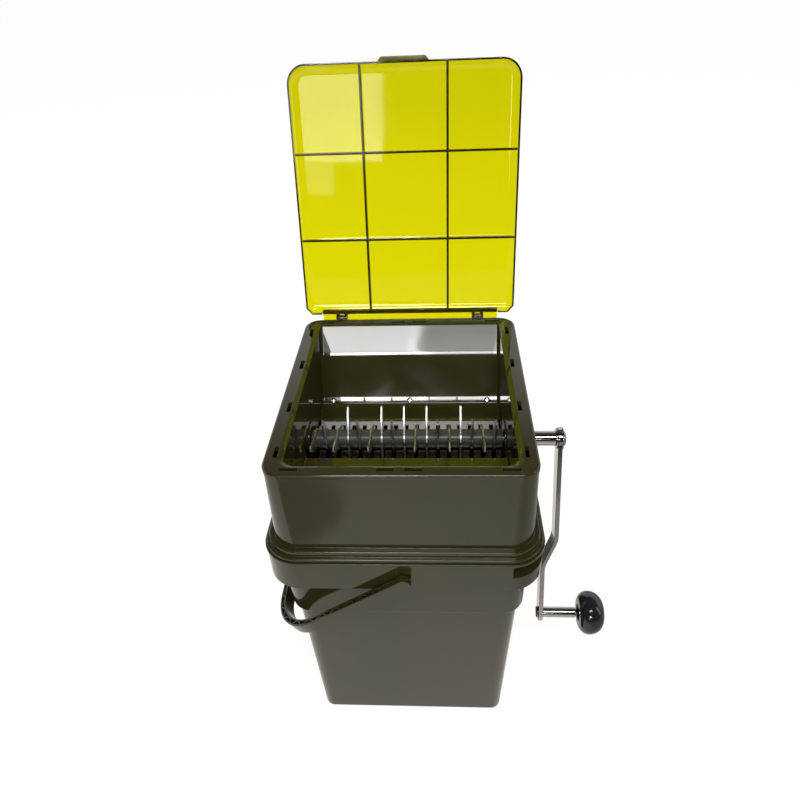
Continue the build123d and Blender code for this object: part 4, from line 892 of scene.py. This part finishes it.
MOUTH_BEVEL_Z = 403.5
inside = funnel(0.0, MOUTH_BEVEL_Z)
soften_creases(inside, 2.6)
mouth = [face for face in inside.faces if all(near(vert.co.z, MOUTH_BEVEL_Z) for vert in face.verts)][0]
for height, flare in ((RIM_TOP - MOUTH_BEVEL_Z, (1.046, 1.025, 1.0)), (2.0, (1.0, 1.0, 1.0))):
    below, mouth = mouth, grow_face(inside, mouth)
    bmesh.ops.delete(inside, geom=[below], context="FACES_ONLY")
    shift(inside, mouth.verts, (0, 0, height))
    bmesh.ops.scale(inside, vec=flare, verts=mouth.verts)
print("funnel inside", len(inside.faces), "faces")

# %% Hopper
rim = raise_levels([square(252.0, 18.0, RIM_LOW), square(252.0, 18.0, RIM_TOP)], steps=10)
round_edges(rim, lambda co: near(co.z, RIM_TOP), 2.2, 4)
hopper = new_piece("hopper_insert", rim)
join(hopper, funnel(2.4, 400.0))
join(hopper, raise_levels([square(245.2, 15.2, 396.0), square(245.2, 15.2, 400.0),
                           square(240.4, 12.8, 400.0), square(240.4, 12.8, 396.0)], ring=True))
cheeks = bmesh.new()
for low, high in ((-109.9, -107.0), (107.0, 109.9)):
    peg(cheeks, "X", ROLLER, 30.0, low, high, steps=48)
for x, y in POSTS:
    peg(cheeks, "Z", (x, y, 0), 4.0, 337.0, 400.0, steps=20)
join(hopper, cheeks)
cut(hopper, inside)
cut(hopper, single(block, (-MOUTH_X, MOUTH_X), (THROAT_FRONT, THROAT_BACK), (290.0, 319.0)))
print("hopper so far", len(hopper.data.polygons), "faces")

# %% [markdown]
# Sixteen slots go through the rim plate, four on each side. Round bosses stand round
# the roller's bushes inside the funnel, and two small ears behind the rim carry the
# lid's pins.

# %% Slots, bosses and hinge ears of the hopper
slots = bmesh.new()
for side in (-1, 1):
    for y in (-110.0, -39.6, 39.6, 110.0):
        block(slots, (side * 115.5 - 2, side * 115.5 + 2), (y - 8, y + 8), (390.0, 410.0))
    for x in (-99.6, -12.7, 12.7, 99.6):
        block(slots, (x - 8, x + 8), (side * 133.85 - 2, side * 133.85 + 2), (390.0, 410.0))
cut(hopper, slots)
roller_bosses = bmesh.new()
for low, high in ((-108.0, -106.3), (106.3, 108.0)):
    peg(roller_bosses, "X", ROLLER, 20.0, low, high, steps=48)
join(hopper, roller_bosses)
cut(hopper, single(peg, "X", ROLLER, 9.05, -130.0, 130.0, steps=48))


def round_lug(low, high, radius, foot):
    """Hinge plate between two X places: a round eye on a foot. A minus radius turns it over."""
    turns = [math.radians(step * 15) for step in range(13)]
    eye = [(HINGE_Y + radius * math.cos(turned), HINGE_Z + radius * math.sin(turned)) for turned in turns]
    return side_shape(eye + foot, low, high)


for x in EARS_X:
    join(hopper, round_lug(x - 2.5, x + 2.5, 3.2, [(140.2, 405.2), (140.2, 400.3), (147.7, 400.3)]))
settle(hopper, hopper_plastic, "crusher", "olive_plastic", "hopper", ease=0.3)

# %% [markdown]
# The lid is a shallow tray with a rounded slope along three edges. Its skin is one
# face, extruded and inset step by step, and a Solidify modifier gives it its wall.
# The ribs on its inside, the finger lip at the front, a bar along the back and the lugs
# for the hinge pins are a piece of their own, because they get a deeper tint, painted
# shade for the light lost in them. Both are drawn closed and then turned open about
# the hinge.

# %% Lid tray
LID_LOW, LID_TOP, LID_WALL = 405.4, 415.4, 2.3
LID_HALF, LID_FRONT, LID_BACK = 126.3, -136.2, 140.5


def mirrored(right):
    """Outline that goes on over the middle with its mirror image."""
    return right + [(-x, y) for x, y in reversed(right)]


def lid_skin(closed):
    """Outside of the lid, either closed below or as an open sheet."""
    bm = bmesh.new()
    outline = mirrored([(LID_HALF, LID_FRONT), (LID_HALF, 132.5), (119.3, LID_BACK)])
    verts = [bm.verts.new((x, y, LID_LOW)) for x, y in outline]
    bm.faces.new(verts)
    round_off(bm, [vert for vert in verts if vert.co.y < 0], 21.0, 12, affect="VERTICES")
    base = bm.faces[:][0]
    if base.normal.z < 0:
        bmesh.ops.reverse_faces(bm, faces=[base])
    top = grow_face(bm, base)
    shift(bm, top.verts, (0, 0, 3.0))
    for inwards, upwards in ((1.6, 2.4), (2.5, 2.0), (3.3, 1.5), (4.2, 1.1)):
        bm.normal_update()
        bmesh.ops.inset_region(bm, faces=[top], thickness=inwards, depth=0, use_even_offset=True)
        shift(bm, top.verts, (0, 0, upwards))
    bmesh.ops.recalc_face_normals(bm, faces=bm.faces)
    if not closed:
        floor_face = [face for face in bm.faces if all(near(vert.co.z, LID_LOW) for vert in face.verts)]
        bmesh.ops.delete(bm, geom=floor_face, context="FACES_ONLY")
    return bm


lid = new_piece("clear_lid", lid_skin(closed=False))
wall = lid.modifiers.new("wall", "SOLIDIFY")
wall.thickness = LID_WALL
wall.offset = -1.0
wall.use_even_offset = True
bake(lid)
cut(lid, single(block, (-107.3, 107.3), (136.6, 160.0), (400.0, 410.0)))
join(lid, single(block, (-107.3, 107.3), (137.5, 149.6), (413.1, LID_TOP)))
print("lid tray", [round(side, 1) for side in lid.dimensions])

# %% Lid ribs, lip and lugs
RIB_HALF = 1.3

rib_bars = bmesh.new()
for x in (-47.0, 47.0):
    block(rib_bars, (x - RIB_HALF, x + RIB_HALF), (-200, 200), (406.6, 420.0))
lid_frame = new_piece("lid_frame", rib_bars)
cross_bars = bmesh.new()
for y in (51.0, -45.0):
    block(cross_bars, (-200, 200), (y - RIB_HALF, y + RIB_HALF), (406.8, 420.0))
join(lid_frame, cross_bars)
inner = lid_skin(closed=True)
shift(inner, inner.verts, (0, 0, -2.0))
bmesh.ops.scale(inner, vec=(0.985, 0.985, 1.0), space=Matrix.Translation((0, -2.0, 0)), verts=inner.verts)
combine(lid_frame, inner, "INTERSECT")

lip = bmesh.new()
lip_outline = mirrored([(27.5, LID_FRONT + 1.5), (27.5, LID_FRONT), (23.5, LID_FRONT - 4.4)])
lip_face = lip.faces.new([lip.verts.new((x, y, LID_LOW)) for x, y in lip_outline])
shift(lip, grow_face(lip, lip_face).verts, (0, 0, 3.2))
bmesh.ops.recalc_face_normals(lip, faces=lip.faces)
join(lid_frame, lip)
# A bar across the back in the deep tint paints the dark line where the tray's back edge is seen edge-on:
# painted shade.
join(lid_frame, single(block, (-106.8, 106.8), (136.2, 141.0), (408.4, 413.3)))
for x in EARS_X:
    for low, high in ((x - 6.9, x - 2.9), (x + 2.9, x + 6.9)):
        join(lid_frame, round_lug(low, high, -2.8, [(147.0, 413.4), (139.0, 413.4)]))
        cut(lid_frame, single(peg, "X", (0, HINGE_Y, HINGE_Z), 1.33, low - 1, high + 1, steps=20))
hinge = Matrix.Translation((0, HINGE_Y, HINGE_Z))
opened = hinge @ Matrix.Rotation(math.radians(-102.15), 4, "X") @ hinge.inverted()
for part in (lid, lid_frame):
    part.data.transform(opened)
settle(lid, tinted_plastic, "lid", "tinted_plastic", "lid", ease=0.3)
settle(lid_frame, rib_shade_plastic, "lid", "tinted_plastic", ease=0.25)

# %% [markdown]
# Seventeen two-toothed blades sit on the roller with dark sleeves between them. They
# point in three directions, so that only a few bite at a time. A blade is a round hub
# with a long hooked tooth on each side, cut from 2 mm sheet, so one half of its
# outline is written and turned round for the other half.

# %% Blades
BLADE_ANGLES = {"A": -14.0, "B": 76.0, "C": 121.0}
HUB_RADIUS = 12.0

half_blade = [(-8.0, 8.94), (-8.0, 37.15), (-5.2, 37.65), (-2.0, 37.95), (4.0, 28.0), (6.2, 14.0),
              (6.72, 9.93)]
half_blade += [(HUB_RADIUS * math.sin(math.radians(turned)), HUB_RADIUS * math.cos(math.radians(turned)))
               for turned in range(44, 135, 10)]
outline = [(side * y, side * z) for side in (1, -1) for z, y in half_blade]
blade = new_piece("blade", side_shape(outline, 0.0, 2.0))
cut(blade, single(peg, "X", (0, 0, 0), 6.05, -1.0, 3.0, steps=32))
for name, letter in (("blades_level", "A"), ("blades_upright", "B"), ("blades_slanted", "C")):
    group = bmesh.new()
    for place, kind in zip(BLADE_PLACES, BLADE_ORDER):
        if kind == letter:
            before = len(group.verts)
            group.from_mesh(blade.data)
            fresh = group.verts[:][before:]
            turn(group, fresh, math.radians(BLADE_ANGLES[letter]), "X")
            shift(group, fresh, (place - 1, 0, AXIS_Z))
    settle(new_piece(f"{name}_ground", group), blade_steel, "roller", "blade_steel", name, ease=0.3)
bpy.data.objects.remove(blade)

# %% [markdown]
# Everything round on the crank and the roller is turned: half of its outline is
# drawn along the axis and spun round it. A tube's outline is a closed loop, a solid
# one starts and ends on the axis. The small steps at each end are the eased edges.

# %% Turned parts
def spin_line(bm, verts, centre, axis, steps, closed=False):
    """Join points into a line and spin it once round an axis."""
    pairs = list(zip(verts, verts[1:])) + ([(verts[-1], verts[0])] if closed else [])
    edges = [bm.edges.new(pair) for pair in pairs]
    bmesh.ops.spin(bm, geom=verts + edges, cent=centre, axis=axis, dvec=(0, 0, 0),
                   angle=math.tau, steps=steps, use_merge=True, use_duplicate=False)
    bmesh.ops.remove_doubles(bm, verts=bm.verts, dist=0.001)
    bmesh.ops.recalc_face_normals(bm, faces=bm.faces)


def spin_outline(points, axis_y=0.0, axis_z=AXIS_Z, steps=56):
    """Spin an outline of places along X and radii round an axis along X."""
    bm = bmesh.new()
    verts = [bm.verts.new((x, axis_y + radius, axis_z)) for x, radius in points]
    spin_line(bm, verts, (0, axis_y, axis_z), (1, 0, 0), steps, closed=points[0][1] > 0)
    return bm


def tube_outline(low, high, radius, bore, ease=0.5):
    """Half outline of a tube with eased outer edges."""
    dip = 0.3 * ease
    return [(low, bore), (low, radius - ease), (low + dip, radius - dip), (low + ease, radius),
            (high - ease, radius), (high - dip, radius - dip), (high, radius - ease), (high, bore)]


def place_turned(name, points, material, body, slot, *nodes, axis_y=0.0, axis_z=AXIS_Z, steps=56):
    """Turned part on its axis, finished without further easing."""
    part = new_piece(name, spin_outline(points, axis_y, axis_z, steps))
    settle(part, material, body, slot, *nodes, ease=0)


sleeves = bmesh.new()
ends = [-105.5] + [place + side for place in BLADE_PLACES for side in (-1, 1)] + [105.5]
for low, high in zip(ends[0::2], ends[1::2]):
    add_shape(sleeves, spin_outline(tube_outline(low, high, 10.6, 6.05, 0.35), steps=48))
settle(new_piece("drum_sleeves", sleeves), drum_plastic, "roller", "drum_plastic", "roller_spacers", ease=0)

place_turned("crank_tube", tube_outline(112.9, 163.5, 8.25, 6.05, 0.6), bright_steel, "roller",
             "bright_steel", "crank_sleeve")
place_turned("hub_plain_washer", tube_outline(163.5, 165.0, 11.3, 5.05, 0.35), bright_steel, "roller",
             "bright_steel", "hub_washer")

# %% [markdown]
# The two combs are folded steel plates with a row of slots that the blades pass
# through. They are cut from a plain plate with one comb-shaped tool.

# %% Combs
PLATE_X, PLATE_LOW = (-105.3, 105.3), 313.0


def comb_plate(name, node, material, near_y, slot_end, face_y, back_y, flange_top):
    """Slotted plate with an upright flange."""
    comb = new_piece(name, single(block, PLATE_X, sorted((near_y, back_y)), (PLATE_LOW, PLATE_LOW + 2.4)))
    join(comb, single(block, PLATE_X, sorted((face_y, back_y)), (PLATE_LOW, flange_top)))
    gaps = bmesh.new()
    for x in BLADE_PLACES:
        block(gaps, (x - 2.5, x + 2.5), sorted((near_y - math.copysign(3, back_y), slot_end)), (300.0, 330.0))
    cut(comb, gaps)
    settle(comb, material, "crusher", "comb_steel", node, ease=0.35)


comb_plate("rear_comb_plate", "rear_comb", comb_steel, 13.0, 46.5, 87.6, 90.0, 326.0)
# The front comb takes the darker steel, painted shade under the roller and the ledge.
comb_plate("front_comb_plate", "front_comb", painted_shade_comb_steel, -1.5, -39.0, -44.1, -46.5, 333.0)

# %% [markdown]
# Each comb is held by three round-headed screws. The heads are small domes with a
# cross recess, which only needs two short blocks cut from each head. The rear ones
# sit square on the step's leaning face.

# %% Comb screws
def screw_head(x, face_y, z, side, lean=0.0):
    """Dome with a cross recess and a shank, along Y."""
    bm = bmesh.new()
    dome = [(0.0, 0.0), (0.0, 3.6), (0.35, 3.6), (1.0, 3.2), (1.6, 2.3), (1.95, 1.1), (2.0, 0.0)]
    verts = [bm.verts.new((radius, along, 0)) for along, radius in dome]
    spin_line(bm, verts, (0, 0, 0), (0, 1, 0), 28)
    head = new_piece("head", bm)
    for wide, high in ((2.1, 0.42), (0.42, 2.1)):
        cut(head, single(block, (-wide, wide), (1.0, 3.0), (-high, high)))
    join(head, single(peg, "Y", (0, 0, 0), 1.75, -8.0, 0.5, steps=16))
    if side > 0:
        head.data.transform(Matrix.Rotation(math.pi, 4, "Z"))
    head.data.transform(Matrix.Rotation(-lean, 4, "X"))
    head.data.transform(Matrix.Translation((x, face_y, z)))
    return loosen(head)


screws = bmesh.new()
for x in (-93.5, 0.0, 93.5):
    for face_y, z, side, lean in ((81.9, 324.6, 1, math.radians(31.5)), (-41.5, 325.4, -1, 0.0)):
        add_shape(screws, screw_head(x, face_y, z, side, lean))
settle(new_piece("comb_screw_heads", screws), screw_steel, "crusher", "screw_steel", "comb_screws", ease=0.1)

# %% [markdown]
# The crank arm is a flat steel bar with round ends and a joggle: it bends towards the
# bucket and straightens again. Its flat outline is extruded to the bar's thickness,
# cut into short runs, and each cross line of points is moved sideways as the bend
# needs it.

# %% Crank arm
ARM_FACE_X, ARM_THICK, ARM_LENGTH, JOGGLE = 165.0, 5.0, 216.0, 14.3
ARM_TURN = math.radians(20.9)


def joggle_at(distance):
    """Sideways place of the arm's middle at a distance from the shaft."""
    start, end, ease = 119.0, 152.0, 6.0
    slope = -JOGGLE / (end - start)
    if distance <= start - ease:
        return 0.0
    if distance < start + ease:
        return slope * (distance - start + ease) ** 2 / (4 * ease)
    if distance <= end - ease:
        return slope * (distance - start)
    if distance < end + ease:
        return -JOGGLE - slope * (end + ease - distance) ** 2 / (4 * ease)
    return -JOGGLE


turns = [math.radians(step * 12) for step in range(-2, 18)]
arm_outline = [(12.0 * math.cos(turned), 12.0 * math.sin(turned)) for turned in turns]
turns = [math.radians(180 + step * 12) for step in range(16)]
arm_outline += [(10.0 * math.cos(turned), -ARM_LENGTH + 10.0 * math.sin(turned)) for turned in turns]
arm = side_shape(arm_outline, 0.0, ARM_THICK)
for distance in (60, 100, 111, 113, 115, 117, 119, 121, 123, 125, 129, 134, 139, 143, 146, 148, 150,
                 152, 154, 156, 158, 160, 180):
    everything = arm.verts[:] + arm.edges[:] + arm.faces[:]
    bmesh.ops.bisect_plane(arm, geom=everything, plane_co=(0, 0, -distance), plane_no=(0, 0, 1))
for vert in arm.verts:
    vert.co.x += joggle_at(-vert.co.z)
bmesh.ops.recalc_face_normals(arm, faces=arm.faces)
crank = new_piece("crank_bar", arm)
place_on_shaft = Matrix.Translation((ARM_FACE_X, 0, AXIS_Z)) @ Matrix.Rotation(-ARM_TURN, 4, "X")
crank.data.transform(place_on_shaft)
settle(crank, bright_steel, "roller", "bright_steel", "crank_arm", ease=0.6, steps=3)
knob_centre = place_on_shaft @ Vector((0, 0, -ARM_LENGTH))
print("knob axis", round(knob_centre.y, 2), round(knob_centre.z, 2))

# %% [markdown]
# On the shaft's end a toothed washer and a low round-headed screw hold the arm. The
# screw has a six-sided socket.

# %% Hub fastening
toothed = new_piece("toothed_washer", spin_outline(tube_outline(170.0, 171.2, 10.4, 3.1, 0.2), steps=48))
teeth = bmesh.new()
for index in range(12):
    tooth = block(teeth, (170.0, 171.2), (-1.5, 1.5), (9.0, 12.6))
    turn(teeth, tooth, index * math.tau / 12, "X")
shift(teeth, teeth.verts, ROLLER)
join(toothed, teeth)
settle(toothed, bright_steel, "roller", "bright_steel", "lock_washer", ease=0.2)

head_outline = [(171.2, 0.0), (171.2, 9.0), (172.0, 9.0), (172.9, 8.5), (173.7, 7.6), (174.3, 6.2),
                (174.6, 4.2), (174.6, 0.0)]
hub_screw = new_piece("hub_screw_head", spin_outline(head_outline, steps=48))
cut(hub_screw, single(peg, "X", ROLLER, 2.9, 172.2, 176.0, steps=6))
settle(hub_screw, bright_steel, "roller", "bright_steel", "hub_screw", ease=0.15)

# %% [markdown]
# The knob is a black bun that turns on a steel spindle. Its flat inner face has a
# shallow recess round the spindle, and a small plug closes the outer end. Arcs in
# the outline are short runs of points on a circle, spun with many steps.

# %% Knob and spindle
def arc_between(start, end, bulge, count=8):
    """Places on an arc between two points that swells to one side of the chord."""
    (x0, r0), (x1, r1) = start, end
    run, rise = x1 - x0, r1 - r0
    chord = math.hypot(run, rise)
    radius = (chord * chord / 4 + bulge * bulge) / (2 * bulge)
    half = math.asin(chord / (2 * radius))
    places = []
    for index in range(count + 1):
        turned = half * (2 * index / count - 1)
        along = 0.5 + radius * math.sin(turned) / chord
        out = radius * (math.cos(turned) - math.cos(half))
        places.append((x0 + run * along - out * rise / chord, r0 + rise * along + out * run / chord))
    return places


flank = arc_between((197.8, 16.5), (209.5, 24.8), 2.4)
dome = arc_between((209.5, 24.8), (226.0, 12.0), 3.7, 12)
knob_points = [(199.6, 4.1), (199.6, 9.2), (199.3, 9.6), (198.0, 9.8), (197.8, 10.1)] + flank + dome[1:] \
    + [(226.0, 9.3), (225.8, 9.05), (222.0, 9.0), (222.0, 4.1)]
cap_points = [(223.6, 0.0), (223.6, 8.95), (225.2, 8.95), (225.7, 8.6), (225.9, 8.0), (226.0, 7.0),
              (226.0, 0.0)]
spindle_points = [(150.7, 0.0), (150.7, 4.0), (155.7, 4.0), (155.7, 5.6), (156.2, 6.1), (193.6, 6.1),
                  (194.1, 5.6), (194.1, 4.0), (222.2, 4.0), (222.2, 0.0)]
rivet_points = [(148.3, 0.0), (148.3, 4.6), (148.6, 5.6), (149.2, 6.4), (150.0, 6.9), (150.7, 7.0),
                (150.7, 0.0)]
for name, points, material, body, slot, node, steps in (
        ("crank_grip", knob_points, knob_plastic, "knob", "knob_plastic", "crank_knob", 72),
        ("grip_plug", cap_points, knob_plastic, "knob", "knob_plastic", "knob_cap", 56),
        ("grip_spindle", spindle_points, bright_steel, "roller", "bright_steel", "knob_spindle", 56),
        ("spindle_rivet_head", rivet_points, bright_steel, "roller", "bright_steel", "spindle_rivet", 56)):
    place_turned(name, points, material, body, slot, node, axis_y=knob_centre.y, axis_z=knob_centre.z,
                 steps=steps)

# %% [markdown]
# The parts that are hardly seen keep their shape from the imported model. They only
# need the right finish, which goes into the material slots that they already have.

# %% Finishes for the parts that keep their shape
kept = {
    "housing_screws": screw_steel,
    "neck_seal": seal_rubber,
    "right_bush": bush_plastic,
    "left_bush": bush_plastic,
    "hinge_pins": screw_steel,
    "roller_shaft": bright_steel,
    "shaft_clip": screw_steel,
}
for name, material in kept.items():
    for material_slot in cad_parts[name].material_slots:
        material_slot.material = material
print("kept", sorted(kept))
